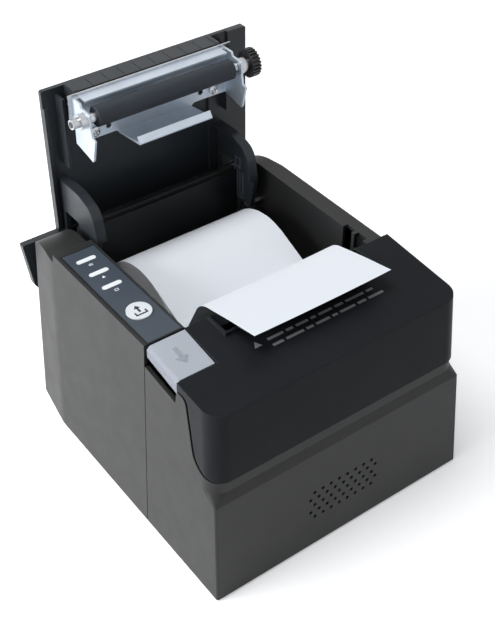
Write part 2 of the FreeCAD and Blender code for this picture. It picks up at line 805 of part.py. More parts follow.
def feed_button():
    """Round button with a skirt that keeps it in its bore."""
    cap = rod_z(TOP - 3, TOP + 0.5, PANEL_X, BUTTON_Y, BUTTON_R)
    return cap.fuse(rod_z(TOP - 4.7, TOP - 2.8, PANEL_X, BUTTON_Y, BUTTON_R + BUTTON_SKIRT)).removeSplitter()


def lever_drop():
    """Height lost by the lever's top from its rear edge to its front edge."""
    return (LEVER_REAR_Y - LEVER_FRONT_Y) * tan(COVER_SLOPE + LEVER_TILT)


def push_lever():
    """Tilted key with a bevelled outer edge and a side skirt, turning on a cross axle."""
    x0 = LEVER_LEFT
    x1 = LEVER_RIGHT
    y0 = LEVER_FRONT_Y + 0.9
    y1 = LEVER_REAR_Y
    drop = lever_drop()
    top = plate_x([(y1, TOP), (y0, TOP - drop), (y0, TOP - drop - 7.5), (y1, TOP - 6)], x0, x1)
    middle = Vector(x0, (y0 + y1) / 2, TOP - drop / 2)
    outer = [e for e in top.Edges if (e.CenterOfMass - middle).Length < 0.1]
    top = top.makeChamfer(LEVER_BEVEL, outer)
    rear = y1 - LEVER_SIDE
    front = y0 + LEVER_SIDE
    low = TOP - 30
    hollow = [(rear, TOP - LEVER_SKIN), (front, TOP - drop - LEVER_SKIN), (front, low), (rear, low)]
    hollow = plate_x(hollow, x0 + LEVER_WALL, x1 - LEVER_SIDE)
    key = top.cut(hollow)
    key = key.fuse(rod_x(x0 + 1, x1 - 1, LEVER_AXLE_Y, TOP - drop - LEVER_AXLE_DOWN, LEVER_AXLE_R))
    finger = box(x1 - LEVER_SIDE - 2.6, x1 - LEVER_SIDE, rear - 3, rear, LEVER_FINGER_Z, TOP - 2)
    return key.fuse(finger).removeSplitter()


def lever_seat():
    """Post under the push lever that carries its axle, on the frame of the mechanism."""
    y = LEVER_AXLE_Y
    z = TOP - lever_drop() - LEVER_AXLE_DOWN
    middle = (LEVER_LEFT + LEVER_WALL + LEVER_RIGHT - LEVER_SIDE) / 2
    x = middle - LEVER_SEAT_OFF - LEVER_SEAT_W / 2
    half = LEVER_SEAT_HALF
    stand = box(x, x + LEVER_SEAT_W, y - half, y + half, LEVER_SEAT_Z, z + half)
    stand = stand.cut(rod_x(LEVER_LEFT, COLUMN_IN, y, z, LEVER_AXLE_R + RUNNING))
    foot = box(x, CHASSIS_LEFT, y - half, y + half, LEVER_SEAT_Z, LEVER_SEAT_Z + INNER_WALL)
    return stand.fuse(foot).removeSplitter()


def lid_place(shape):
    """Swing a shape drawn with the lid closed to the open position."""
    shape.rotate(Vector(0, HINGE_Y, HINGE_Z), Vector(1, 0, 0), -90)
    return shape


def lid_plan(z, inset):
    """T-shaped plan of the lid: a narrow front and a full-width tapered tail."""
    w = half_width(z) - inset
    left = COLUMN_IN + LID_GAP + inset
    y0 = LID_FRONT + inset
    y1 = rear_y(z) - inset
    wr = w - (y1 - CREASE_Y) * REAR_TAPER
    step = STEP_Y + LID_GAP + inset
    return [(left, y0, 1.0), (w, y0, 1.0), (w, CREASE_Y, CREASE_ROUND), (wr, y1, 6.0), (-wr, y1, 6.0),
            (-w + 0.6, step, 0.8), (left, step)]


def cheek_profile(inset):
    """Side of the lid's arm: down from the lid, round and back to the hinge."""
    return [(23 + inset, TOP - LID_SKIN), (22.5 + inset, 94, 14 - inset),
            (26.5 + inset, 80.5 + inset, 10 - inset), (43, 77 + inset, 14 - inset),
            (HINGE_Y - 2.5, HINGE_Z - BOSS_R + 0.4 + inset), (HINGE_Y + 5.4, HINGE_Z - 3.4, 3),
            (HINGE_Y + 10, TOP - LID_SKIN)]


def cheek_window():
    """Window in the lid's arm."""
    return [(41, 109.5, 2), (41, 95, 2), (57, 95, 2), (60, 109.5, 2)]


def cheek(x0, x1, rim0, rim1):
    """Arm with its window, hinge boss and the flange along its front edge."""
    plate = plate_x(cheek_profile(0), x0, x1)
    plate = plate.cut(plate_x(cheek_window(), x0 - 1, x1 + 1))
    plate = plate.fuse(rod_x(x0, x1, HINGE_Y, HINGE_Z, BOSS_R))
    band = plate_x(cheek_profile(0), rim0, rim1).cut(plate_x(cheek_profile(FLANGE_SKIN), rim0 - 1, rim1 + 1))
    return plate.fuse(band.cut(box(-WIDTH, WIDTH, 44, DEPTH, 0, 2 * TOP)))


def lid_shell():
    """Lid plate with its thicker tail, side rims, two arms and the posts under the bracket."""
    high = TOP + OVER
    skin = plate_z(lid_plan(TOP, 0), TOP - LID_SKIN, TOP)
    tail = plate_z(lid_plan(TOP, 0), TOP - SEAT_DROP + 0.6, TOP - 1)
    tail = tail.cut(box(-WIDTH, WIDTH, -DEPTH, STEP_Y + LID_GAP, 0, high))
    hollow = plate_z(lid_plan(TOP, LID_RIM), 0, high).common(box(-WIDTH, MARGIN_X, -DEPTH, DEPTH, 0, high))
    rim = plate_z(lid_plan(TOP, 0), LEDGE_Z + 0.4, TOP - 1).cut(hollow)
    rim = rim.cut(box(-WIDTH, WIDTH, STEP_Y - 1, DEPTH, 0, high))
    rim = rim.cut(box(-WIDTH, 60, LID_FRONT - 1, LID_FRONT + 9, 0, TOP - LID_SKIN))
    body = skin.fuse([tail, rim])
    for x in (-41.0, 55.8):
        body = body.fuse(box(x - 0.8, x + 0.8, -24, 15, TOP - 9, TOP - 1))
    body = body.fuse(cheek(CHEEK_LEFT, CHEEK_LEFT + CHEEK, CHEEK_LEFT, CHEEK_LEFT + CHEEK + FLANGE))
    body = body.fuse(cheek(CHEEK_RIGHT - CHEEK, CHEEK_RIGHT, CHEEK_RIGHT - CHEEK - FLANGE, CHEEK_RIGHT))
    for x in post_spots():
        body = body.fuse(box(x - 4, x + 4, -10, -2, FLANGE_Z + SHEET, TOP - 1))
    body = body.cut(hinge_pins_shape(RUNNING))
    return lid_place(body.removeSplitter())


def post_spots():
    """Places of the two posts that carry the bracket."""
    return (PAPER_X - 35.5, PAPER_X + 35.5)


def paper_lip():
    """Segmented edge that the paper leaves over, with an ear at each end."""
    half = PAPER_W / 2 + 1.2
    side = [(-28.4, 102.2), (-28.4, 111.6), (-27.4, 112.6), (-22, 112.6), (-22, 110.5), (-26, 110.5),
            (-26, 102.2)]
    bar = plate_x(side, PAPER_X - half, PAPER_X + half)
    step = 2 * half / LIP_PARTS
    for i in range(1, LIP_PARTS):
        x = PAPER_X - half + i * step
        bar = bar.cut(box(x - 0.2, x + 0.2, -30, -28.0, 101, 114))
    ear = [(-28.8, 102.6), (-28.8, 111.9), (-28.1, 112.6), (-20, 112.6), (-22, 101.6), (-27.8, 101.6)]
    for x in (PAPER_X - half - LIP_EAR, PAPER_X + half):
        bar = bar.fuse(plate_x(ear, x, x + LIP_EAR))
    return lid_place(bar.removeSplitter())


def bracket():
    """Bent sheet: back flange, front lip, two pointed ears and a paper tongue."""
    x0 = EAR_X - EAR_HALF
    x1 = EAR_X + EAR_HALF
    z0 = FLANGE_Z
    z1 = FLANGE_Z + SHEET
    left = -15.5
    right = 27.5
    plan = [(x0, -27.0), (x1, -27.0), (x1, -2.2), (right + 2, -2.2), (right, -0.8), (left, -0.8),
            (left - 2, -2.2), (x0, -2.2)]
    back = plate_z(plan, z0, z1)
    lip = box(x0 + 3.5, x1 - 3.5, -27.4, -27.4 + SHEET, 93.2, z1)
    ear = [(-27.0, z1), (-2.2, z1), (-1.4, 95.8), (0.9, 84.4), (-0.4, 83.6), (-11.9, 80.8), (-12.8, 83.4),
           (-17.6, 84.2), (-24.6, 84.2), (-25.0, 92.0), (-27.0, 93.0)]
    ears = []
    for x in (x0, x1 - SHEET):
        plate = plate_x(ear, x, x + SHEET)
        ears.append(plate.cut(rod_x(x - 1, x + 9, PLATEN_Y, PLATEN_Z, SHAFT_D / 2 + FIT)))
    tongue = [(-1.0, z1), (0.2, z1), (-2.4, 78.6, 0.8), (-6.4, 81.2), (-5.8, 82.1), (-3.5, 80.5), (-1.0, z0)]
    tongue = plate_x(tongue, left, right)
    body = back.fuse([lip, tongue] + ears)
    for x in (PAPER_X - 27.5, PAPER_X + 27.5):
        body = body.cut(rod_z(z0 - 1, z1 + 1, x, -6.6, 1.5))
    return lid_place(body.removeSplitter())


def fixed_blade():
    """Straight blade on the bracket's flange."""
    z = FLANGE_Z + SHEET
    blade = box(PAPER_X - 47.6, PAPER_X + 47.6, -28.6, -14.0, z, z + 0.9)
    return lid_place(blade)


def gear_solid(x0, y, z, radius, teeth, bore):
    """Spur gear about an axis along X, with straight-flanked teeth."""
    points = []
    root = radius - TOOTH
    step = 2 * math.pi / teeth
    for i in range(teeth):
        for part, r in ((0.02, root), (0.30, root), (0.42, radius), (0.90, radius)):
            a = (i + part) * step
            points.append((y + r * math.cos(a), z + r * math.sin(a)))
    gear = plate_x(points, x0, x0 + GEAR_W)
    return gear.cut(rod_x(x0 - 1, x0 + GEAR_W + 1, y, z, bore))


def platen_roller():
    """Rubber tube with small bevels."""
    tube = rod_x(PAPER_X - 40, PAPER_X + 40, PLATEN_Y, PLATEN_Z, PLATEN_R)
    tube = tube.makeChamfer(0.4, [e for e in tube.Edges if e.isClosed()])
    return lid_place(tube.cut(rod_x(-60, 80, PLATEN_Y, PLATEN_Z, SHAFT_D / 2)))


def platen_shaft():
    """Steel shaft through the roller."""
    return lid_place(rod_x(SHAFT_LEFT, GEAR_X + GEAR_W, PLATEN_Y, PLATEN_Z, SHAFT_D / 2))


def platen_gear():
    """Gear on the shaft's right end."""
    gear = gear_solid(GEAR_X, PLATEN_Y, PLATEN_Z, GEAR_R, GEAR_TEETH, SHAFT_D / 2)
    return lid_place(gear)


def platen_bushings():
    """Plain bearings outside the two ears of the bracket."""
    bushes = []
    for x in (EAR_X - EAR_HALF - BUSH_L, EAR_X + EAR_HALF):
        bush = rod_x(x, x + BUSH_L, PLATEN_Y, PLATEN_Z, BUSH_D / 2)
        bushes.append(bush.cut(rod_x(x - 1, x + 9, PLATEN_Y, PLATEN_Z, SHAFT_D / 2 + RUNNING)))
    return lid_place(Part.makeCompound(bushes))


def paper_roll():
    """Full roll lying in the trough."""
    roll = rod_x(PAPER_X - PAPER_W / 2, PAPER_X + PAPER_W / 2, ROLL_Y, ROLL_Z, ROLL_R)
    return roll.cut(rod_x(-WIDTH, WIDTH, ROLL_Y, ROLL_Z, CORE_R))


def paper_core():
    """Tube in the roll, a little longer than the paper is wide."""
    half = PAPER_W / 2 + CORE_OUT
    tube = rod_x(PAPER_X - half, PAPER_X + half, ROLL_Y, ROLL_Z, CORE_R)
    return tube.cut(rod_x(-WIDTH, WIDTH, ROLL_Y, ROLL_Z, CORE_R - CORE_WALL))


def paper_strip():
    """Paper leaving the top of the roll, dipping, then rising over the cover to its free end."""
    off = math.radians(STRIP_OFF)
    reach = ROLL_R + STRIP_LIFT
    start = (ROLL_Y + reach * math.cos(off), ROLL_Z + reach * math.sin(off))
    lower = path_edges([start, (-4.1, 85.8, 8), (-17.9, 113.5, 14), STRIP_END], sideways, False)
    upper = [edge.translated(Vector(0, 0, STRIP)) for edge in lower]
    rise = Vector(0, 0, STRIP)
    ends = [Part.makeLine(spot, spot + rise) for spot in (sideways(*start), sideways(*STRIP_END))]
    blank = Part.Face(Part.Wire(Part.__sortEdges__(lower + upper + ends)))
    blank.translate(Vector(PAPER_X - PAPER_W / 2, 0, 0))
    return blank.extrude(Vector(PAPER_W, 0, 0))


def chassis():
    """Sheet frame of the print mechanism with open notches for the platen."""
    gap = FIT + BUSH_D / 2
    side = [(CHASSIS_FRONT, CHASSIS_Z), (CHASSIS_REAR, CHASSIS_Z), (-6, 78), (-9, 93), (PLATEN_Y + gap, 95),
            (PLATEN_Y + gap, PLATEN_Z - gap, gap - 0.1), (PLATEN_Y - gap, PLATEN_Z - gap, gap - 0.1),
            (PLATEN_Y - gap, CHASSIS_TOP), (CHASSIS_FRONT, CHASSIS_TOP)]
    rear = CHASSIS_REAR
    floor = box(CHASSIS_LEFT, CHASSIS_RIGHT + SHEET, CHASSIS_FRONT, rear, CHASSIS_Z, CHASSIS_Z + SHEET)
    left = plate_x(side, CHASSIS_LEFT, CHASSIS_LEFT + SHEET)
    right = plate_x(side, CHASSIS_RIGHT, CHASSIS_RIGHT + SHEET)
    body = floor.fuse([left, right]).removeSplitter()
    _, (y, z) = drive_points()
    hole = rod_x(CHASSIS_RIGHT - 0.1, CHASSIS_RIGHT + 2, y, z, MOTOR_SHAFT_R)
    return body.cut(rod_x(-WIDTH, WIDTH, LATCH_Y, LATCH_Z, LATCH_R + RUNNING)).cut(hole)


def thermal_head():
    """Heat sink plate behind the print line, with a foot to the frame of the mechanism."""
    plate = box(HEAD_LEFT, HEAD_RIGHT, HEAD_Y - HEAD_PLATE, HEAD_Y, HEAD_LOW, HEAD_TOP)
    foot = box(CHASSIS_LEFT + SHEET, HEAD_RIGHT, -30, -14, HEAD_LOW, HEAD_LOW + 2)
    return plate.fuse(foot).removeSplitter()


def head_ceramic():
    """Ceramic strip with the raised print line, one sheet of paper away from the roller."""
    y = PLATEN_Y - PLATEN_R - STRIP
    side = [(HEAD_Y, 82), (y - 1, 82), (y - 1, 87.4), (y, PLATEN_Z - 0.4), (y, PLATEN_Z + 0.4), (y - 1, 90),
            (y - 1, 92.4), (HEAD_Y, 92.4)]
    return plate_x(side, PAPER_X - 42, PAPER_X + 42)


def cutter_frame():
    """Tray under the cover that carries the blade, its wheel and the motor."""
    x0 = CHASSIS_LEFT
    x1 = CHASSIS_RIGHT + SHEET
    y0 = CUTTER_FRONT
    y1 = CUTTER_REAR
    plate = box(x0, x1, y0, y1, CUTTER_Z, CUTTER_Z + SHEET)
    for x in (x0, x1 - SHEET):
        plate = plate.fuse(box(x, x + SHEET, y0, y1, CHASSIS_TOP, CUTTER_Z + SHEET / 2))
    plate = plate.fuse(box(x0 + 4, x1 - 4, y0 - SHEET, y0, CHASSIS_TOP, CUTTER_WALL_TOP))
    stud = rod_z(CUTTER_Z + SHEET / 2, WHEEL_Z + 4.0, PAPER_X - WHEEL_LEFT, y0 + WHEEL_BACK, STUD_R)
    return plate.fuse(stud).removeSplitter()


def cutter_blade():
    """Moving blade with a shallow V edge and a slot for the crank."""
    half = PAPER_W / 2 + BLADE_SIDE
    rear = CUTTER_FRONT + BLADE_BACK
    points = [(PAPER_X - half, rear), (PAPER_X + half, rear), (PAPER_X + half, BLADE_TIP),
              (PAPER_X, BLADE_TIP - BLADE_V, 6), (PAPER_X - half, BLADE_TIP)]
    blade = plate_z(points, BLADE_Z, BLADE_Z + 1)
    return blade.cut(box(PAPER_X - 16, PAPER_X + 4, rear + 2, rear + 6, BLADE_Z - 1, BLADE_Z + 2))


def cutter_gear():
    """Crank wheel lying flat on its stud."""
    gear = gear_solid(WHEEL_Z, 0, 0, WHEEL_R, GEAR_TEETH, STUD_R + RUNNING)
    gear.rotate(Vector(0, 0, 0), Vector(0, 1, 0), -90)
    gear.translate(Vector(PAPER_X - WHEEL_LEFT, CUTTER_FRONT + WHEEL_BACK, 0))
    return gear


def cutter_motor():
    """Small motor hung below the tray."""
    y = CUTTER_FRONT + CUTTER_MOTOR_BACK
    x = CUTTER_MOTOR_X
    end = x + CUTTER_MOTOR_L
    can = drum_x(x, end, y, CUTTER_MOTOR_Z, CUTTER_MOTOR_R)
    nose = drum_x(end, end + 6, y, CUTTER_MOTOR_Z, MOTOR_SHAFT_R)
    tab = box(x, x + 6, y - 3, y + 3, 94, CUTTER_Z)
    return can.fuse([nose, tab]).removeSplitter()


def drive_points():
    """Axes of the idler and of the motor pinion, from the platen gear backwards."""
    far = GEAR_R + IDLER_R + MESH_GAP
    near = IDLER_R + PINION_R + MESH_GAP
    a = math.radians(IDLER_ANGLE)
    b = math.radians(PINION_ANGLE)
    idler = (PLATEN_Y - far * math.cos(a), PLATEN_Z - far * math.sin(a))
    pinion = (idler[0] - near * math.cos(b), idler[1] - near * math.sin(b))
    return idler, pinion


def idler_gear():
    """Gear between the platen and the motor."""
    (y, z), _ = drive_points()
    return gear_solid(GEAR_X, y, z, IDLER_R, IDLER_TEETH, IDLER_STUD_R + RUNNING)


def idler_stud():
    """Stud that carries the idler."""
    (y, z), _ = drive_points()
    return rod_x(CHASSIS_RIGHT + SHEET, GEAR_X + GEAR_W, y, z, IDLER_STUD_R)


def motor_pinion():
    """Pinion on the feed motor."""
    _, (y, z) = drive_points()
    return gear_solid(GEAR_X, y, z, PINION_R, PINION_TEETH, 1.0)


def feed_motor():
    """Feed motor inside the right wall of the frame."""
    _, (y, z) = drive_points()
    can = drum_x(CHASSIS_RIGHT - MOTOR_L, CHASSIS_RIGHT, y, z, MOTOR_R)
    shaft = rod_x(CHASSIS_RIGHT - 1, GEAR_X - 0.1, y, z, MOTOR_SHAFT_R)
    return can.fuse(shaft).removeSplitter()


def latch_bar():
    """Cross shaft with two hooks for the platen and an arm under the lever's finger."""
    y = LATCH_Y
    z = LATCH_Z
    bar = rod_x(SHAFT_LEFT, CHASSIS_RIGHT + SHEET, y, z, LATCH_R)
    nose = PLATEN_Y - BUSH_D / 2 - 0.5
    hook = [(y - 3.5, z - 3.5), (y + 3.5, z - 3.5), (y + 3.5, z + 4), (nose - 0.5, 79), (nose, 90),
            (nose, 93.0), (nose - 3.2, 93.0), (nose - 4, 79)]
    for x in (HOOK_LEFT, HOOK_RIGHT):
        bar = bar.fuse(plate_x(hook, x, x + HOOK))
    arm = [(y - 3.5, z - 3), (y + 2, z - 3), (y + 2, z + 3), (-32, 97), (-36, 97), (-36, 90)]
    arm = plate_x(arm, HOOK_LEFT, HOOK_LEFT + HOOK)
    pin = drum_x(-55.0, -46.0, -34.0, 95.0, LATCH_PIN_R)
    return bar.fuse([arm, pin]).removeSplitter()


PIECES = {
    "main_housing": main_housing,
    "rear_panel": rear_panel,
    "front_housing": front_housing,
    "base_plate": base_plate,
    "rubber_feet": feet,
    "paper_tub": paper_tub,
    "front_cover": front_cover,
    "push_lever": push_lever,
    "lever_seat": lever_seat,
    "panel_overlay": panel_overlay,
    "led_bars": led_bars,
    "panel_board": panel_board,
    "feed_button": feed_button,
    "lid_shell": lid_shell,
    "hinge_pins": lambda: hinge_pins_shape(0),
    "paper_lip": paper_lip,
    "platen_bracket": bracket,
    "fixed_blade": fixed_blade,
    "platen_roller": platen_roller,
    "platen_shaft": platen_shaft,
    "platen_gear": platen_gear,
    "platen_bushings": platen_bushings,
    "paper_roll": paper_roll,
    "paper_core": paper_core,
    "paper_strip": paper_strip,
    "chassis": chassis,
    "thermal_head": thermal_head,
    "head_ceramic": head_ceramic,
    "cutter_frame": cutter_frame,
    "cutter_blade": cutter_blade,
    "cutter_gear": cutter_gear,
    "cutter_motor": cutter_motor,
    "feed_motor": feed_motor,
    "motor_pinion": motor_pinion,
    "idler_gear": idler_gear,
    "idler_stud": idler_stud,
    "latch_bar": latch_bar,
    "main_board": main_board,
    "power_inlet": lambda: socket("power_inlet", 14, round_mouth),
    "drawer_socket": lambda: socket("drawer_socket", 15, square_mouth(9.8, 8.0)),
    "usb_socket": lambda: socket("usb_socket", 15, square_mouth(8.6, 7.8)),
    "network_socket": lambda: socket("network_socket", 17, square_mouth(11.8, 9.0)),
    "switch_frame": switch_frame,
    "switch_rocker": switch_rocker,
    "speaker": speaker,
}

os.makedirs("parts", exist_ok=True)
# The open lid reaches behind the base, so all pieces move forward by half of that.
shift = (DEPTH / 2 - (HINGE_Y + TOP - HINGE_Z)) / 2
for name, make in PIECES.items():
    shape = make()
    shape.translate(Vector(0, shift, 0))
    shape.exportStep("parts/%s.step" % name)
    b = shape.BoundBox
    size = "%.1f x %.1f x %.1f mm" % (b.XLength, b.YLength, b.ZLength)
    print(name, len(shape.Solids), "solids", "valid" if shape.isValid() else "faulty", size)
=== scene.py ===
# %% [markdown]
# # A receipt printer with its lid open
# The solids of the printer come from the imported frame. This lesson gives every
# piece its surface, adds the small parts that are too fine for the solids, and
# sets up the studio. The scene is in metres, in the frame of the solids; sizes
# on a drawing are in millimetres, so they are written so and multiplied by MM.

# %% Load the frame
import bpy
import math
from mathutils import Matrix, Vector


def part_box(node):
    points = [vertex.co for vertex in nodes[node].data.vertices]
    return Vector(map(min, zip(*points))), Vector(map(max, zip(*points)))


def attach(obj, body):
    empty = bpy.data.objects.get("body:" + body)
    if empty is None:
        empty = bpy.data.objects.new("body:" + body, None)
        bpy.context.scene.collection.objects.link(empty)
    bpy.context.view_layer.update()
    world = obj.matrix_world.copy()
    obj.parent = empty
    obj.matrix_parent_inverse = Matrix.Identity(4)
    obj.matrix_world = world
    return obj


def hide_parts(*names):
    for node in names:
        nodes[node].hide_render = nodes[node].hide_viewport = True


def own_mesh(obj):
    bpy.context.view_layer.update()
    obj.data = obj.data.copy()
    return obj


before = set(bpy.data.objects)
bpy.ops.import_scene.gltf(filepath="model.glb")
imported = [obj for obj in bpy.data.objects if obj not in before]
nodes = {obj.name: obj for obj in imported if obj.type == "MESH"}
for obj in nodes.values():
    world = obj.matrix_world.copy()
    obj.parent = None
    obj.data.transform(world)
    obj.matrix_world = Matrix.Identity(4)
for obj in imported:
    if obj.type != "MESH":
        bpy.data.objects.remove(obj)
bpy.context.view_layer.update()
MM = 0.001

# %% [markdown]
# ## Node tools for the surfaces
# Each material is a small network. Object coordinates feed noise fields, which drift the colour, change
# the roughness and raise a bump, so the grain keeps its real size on every piece. A moulded edge is never
# quite sharp: the Bevel node rounds the shading over half a millimetre, and where its normal leaves the
# face's own normal there is an edge. There the colour is painted paler, partly as rubbed wear from
# handling and partly as a painted highlight.

# %% Material tools
BEVEL_SAMPLES = 4
EDGE_COSINES = (0.72, 0.97)
ROUGH_SCALE = 2.3
GRAIN_STRENGTH = 0.35


def told(label, made):
    """Print the names of what a step made."""
    print(label + ":", ", ".join(thing.name for thing in made))


def new_material(name):
    """A material with its node tree, its shader and a node of coordinates."""
    mat = bpy.data.materials.new(name)
    mat.use_nodes = True
    tree = mat.node_tree
    return mat, tree, tree.nodes["Principled BSDF"], tree.nodes.new("ShaderNodeTexCoord")


def noise(tree, coords, scale, detail=3.0, stretch=None):
    """A noise field in object coordinates, which may be stretched along the axes."""
    tex = tree.nodes.new("ShaderNodeTexNoise")
    tex.inputs["Scale"].default_value = scale
    tex.inputs["Detail"].default_value = detail
    source = coords.outputs["Object"]
    if stretch is not None:
        mapping = tree.nodes.new("ShaderNodeMapping")
        mapping.inputs["Scale"].default_value = stretch
        tree.links.new(source, mapping.inputs["Vector"])
        source = mapping.outputs["Vector"]
    tree.links.new(source, tex.inputs["Vector"])
    return tex.outputs["Fac"]


def span(tree, value, low, high, start=0.3, end=0.7):
    """Low to high while the value runs from start to end, and level outside."""
    ramp = tree.nodes.new("ShaderNodeMapRange")
    ramp.inputs["From Min"].default_value = start
    ramp.inputs["From Max"].default_value = end
    ramp.inputs["To Min"].default_value = low
    ramp.inputs["To Max"].default_value = high
    tree.links.new(value, ramp.inputs["Value"])
    return ramp.outputs["Result"]


def blended(tree, factor, one, two):
    """Colour between one and two; either may be a colour or a socket."""
    mix = tree.nodes.new("ShaderNodeMix")
    mix.data_type = "RGBA"
    tree.links.new(factor, mix.inputs["Factor"])
    for socket, value in ((mix.inputs["A"], one), (mix.inputs["B"], two)):
        if isinstance(value, tuple):
            socket.default_value = (*value, 1)
        else:
            tree.links.new(value, socket)
    return mix.outputs["Result"]


def edge_normal(tree, radius):
    """The normal of the surface with its edges rounded by radius."""
    rounding = tree.nodes.new("ShaderNodeBevel")
    rounding.samples = BEVEL_SAMPLES
    rounding.inputs["Radius"].default_value = radius
    return rounding.outputs["Normal"]


def edge_mask(tree, normal):
    """Zero on a face, one on an edge: how far the rounded normal leaves the face's own."""
    geometry = tree.nodes.new("ShaderNodeNewGeometry")
    dot = tree.nodes.new("ShaderNodeVectorMath")
    dot.operation = "DOT_PRODUCT"
    tree.links.new(normal, dot.inputs[0])
    tree.links.new(geometry.outputs["Normal"], dot.inputs[1])
    return span(tree, dot.outputs["Value"], 1.0, 0.0, *EDGE_COSINES)


def bump(tree, shader, height, strength, distance, normal=None):
    """Raise the shading by a height field, on top of another normal if there is one."""
    node = tree.nodes.new("ShaderNodeBump")
    node.inputs["Strength"].default_value = strength
    node.inputs["Distance"].default_value = distance
    tree.links.new(height, node.inputs["Height"])
    if normal is not None:
        tree.links.new(normal, node.inputs["Normal"])
    tree.links.new(node.outputs["Normal"], shader.inputs["Normal"])


def surface(name, colour, vary, rough, grain, depth, metal=0.0, stretch=None, wear=40.0,
            gloss=0.5, edge=None, edge_wear_and_sheen=None):
    """Colour with a slow drift, varying roughness, a fine grain as bump, and soft edges painted paler,
    partly as wear and partly as a painted highlight.
    """
    mat, tree, shader, coords = new_material(name)
    dark = tuple(c * (1 - vary) for c in colour)
    light = tuple(min(1.0, c * (1 + vary)) for c in colour)
    tint = blended(tree, span(tree, noise(tree, coords, wear, 4.0), 0, 1), dark, light)
    normal = None
    if edge is not None:
        normal = edge_normal(tree, edge)
        if edge_wear_and_sheen is not None:
            # Paler edges: partly rubbed wear, partly a painted highlight.
            tint = blended(tree, edge_mask(tree, normal), tint, edge_wear_and_sheen)
    tree.links.new(tint, shader.inputs["Base Color"])
    roughness = span(tree, noise(tree, coords, wear * ROUGH_SCALE, 3.0), *rough)
    tree.links.new(roughness, shader.inputs["Roughness"])
    shader.inputs["Metallic"].default_value = metal
    shader.inputs["Specular IOR Level"].default_value = gloss
    bump(tree, shader, noise(tree, coords, grain, 2.0, stretch), GRAIN_STRENGTH, depth, normal)
    return mat


# %% [markdown]
# ## The shells
# The shells are black ABS from a spark-eroded mould: matt, with a fine grain, and slightly paler along the
# edges, partly as rubbed wear and partly as a painted highlight. The cover over the cutter is a little
# smoother and bluer than the body, and the insides are darker still.

# %% Shell materials
HALF_MM = 0.5 * MM
shell = surface("shell_abs", (0.0140, 0.0142, 0.0146), 0.06, (0.42, 0.47), 1500, 0.00022, gloss=0.29,
                edge=HALF_MM, edge_wear_and_sheen=(0.035, 0.037, 0.040))
cover_abs = surface("cover_abs", (0.0115, 0.0128, 0.0150), 0.08, (0.36, 0.42), 1500, 0.00020, gloss=0.06,
                    edge=0.8 * MM, edge_wear_and_sheen=(0.030, 0.032, 0.036))
lid_abs = surface("lid_abs", (0.0210, 0.0250, 0.0290), 0.08, (0.34, 0.42), 1500, 0.00006, gloss=0.30,
                  edge=HALF_MM, edge_wear_and_sheen=(0.026, 0.028, 0.032))
inner = surface("inner_abs", (0.0065, 0.0070, 0.0078), 0.12, (0.34, 0.46), 1800, 0.00005, gloss=0.30,
                edge=HALF_MM, edge_wear_and_sheen=(0.022, 0.024, 0.027))
moulded = surface("black_moulded", (0.010, 0.010, 0.011), 0.08, (0.30, 0.42), 1500, 0.00004, gloss=0.4,
                  edge=0.2 * MM, edge_wear_and_sheen=(0.035, 0.036, 0.038))
# The clip is the lid's black plastic painted paler: a painted highlight.
clip_painted_highlight = surface("clip_painted_highlight", (0.055, 0.063, 0.078), 0.08, (0.26, 0.36), 1500, 0.00003, gloss=0.5,
                   edge=0.2 * MM, edge_wear_and_sheen=(0.10, 0.11, 0.13))
told("shell finishes", (shell, cover_abs, lid_abs, inner, moulded, clip_painted_highlight))

# %% [markdown]
# ## Keys, film and lamps
# The push lever is a pale grey key with a satin face. Its left flank lies in the shade of the neighbouring
# wall, and that shade is painted: the normal of the face chooses between the key's tone and a darker
# painted-shade tone. The film over the column is smooth and blue-black with a dark printed border, found
# from the distance to the film's middle. The feed button is pale, and milky bars stand in the windows over
# the lamps.

# %% Flank and border tools
SHADED_FLANK_NORMAL = (-0.75, -0.35)


def base_colour(mat):
    """Tree, shader and the socket that feeds the base colour of a finished material."""
    tree = mat.node_tree
    shader = tree.nodes["Principled BSDF"]
    return tree, shader, shader.inputs["Base Color"].links[0].from_socket


def part_of(tree, vector, axis):
    """One coordinate of a vector."""
    split = tree.nodes.new("ShaderNodeSeparateXYZ")
    tree.links.new(vector, split.inputs["Vector"])
    return split.outputs[axis]


def paint_flank_shade(mat, colour):
    """Painted shade: a darker tone on the faces that look to the left."""
    tree, shader, tint = base_colour(mat)
    across = part_of(tree, tree.nodes["Texture Coordinate"].outputs["Normal"], "X")
    left = span(tree, across, 1, 0, *SHADED_FLANK_NORMAL)
    tree.links.new(blended(tree, left, tint, colour), shader.inputs["Base Color"])


def paint_free_end_shade(mat, colour, start, end):
    """Painted shade: a greyer second tone that sets in between two places along the depth."""
    tree, shader, tint = base_colour(mat)
    along = part_of(tree, tree.nodes["Texture Coordinate"].outputs["Object"], "Y")
    free = span(tree, along, 1, 0, end, start)
    tree.links.new(blended(tree, free, tint, colour), shader.inputs["Base Color"])


def print_border(mat, node, width, colour):
    """A printed line of the given width along the edges of a flat node."""
    tree, shader, tint = base_colour(mat)
    low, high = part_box(node)
    for axis, middle, half in zip("XY", (low + high) / 2, (high - low) / 2):
        place = part_of(tree, tree.nodes["Texture Coordinate"].outputs["Object"], axis)
        away = tree.nodes.new("ShaderNodeMath")
        away.operation = "SUBTRACT"
        away.inputs[1].default_value = middle
        tree.links.new(place, away.inputs[0])
        size = tree.nodes.new("ShaderNodeMath")
        size.operation = "ABSOLUTE"
        tree.links.new(away.outputs["Value"], size.inputs[0])
        line = span(tree, size.outputs["Value"], 0, 1, half - width, half - width * 0.8)
        tint = blended(tree, line, tint, colour)
    tree.links.new(tint, shader.inputs["Base Color"])
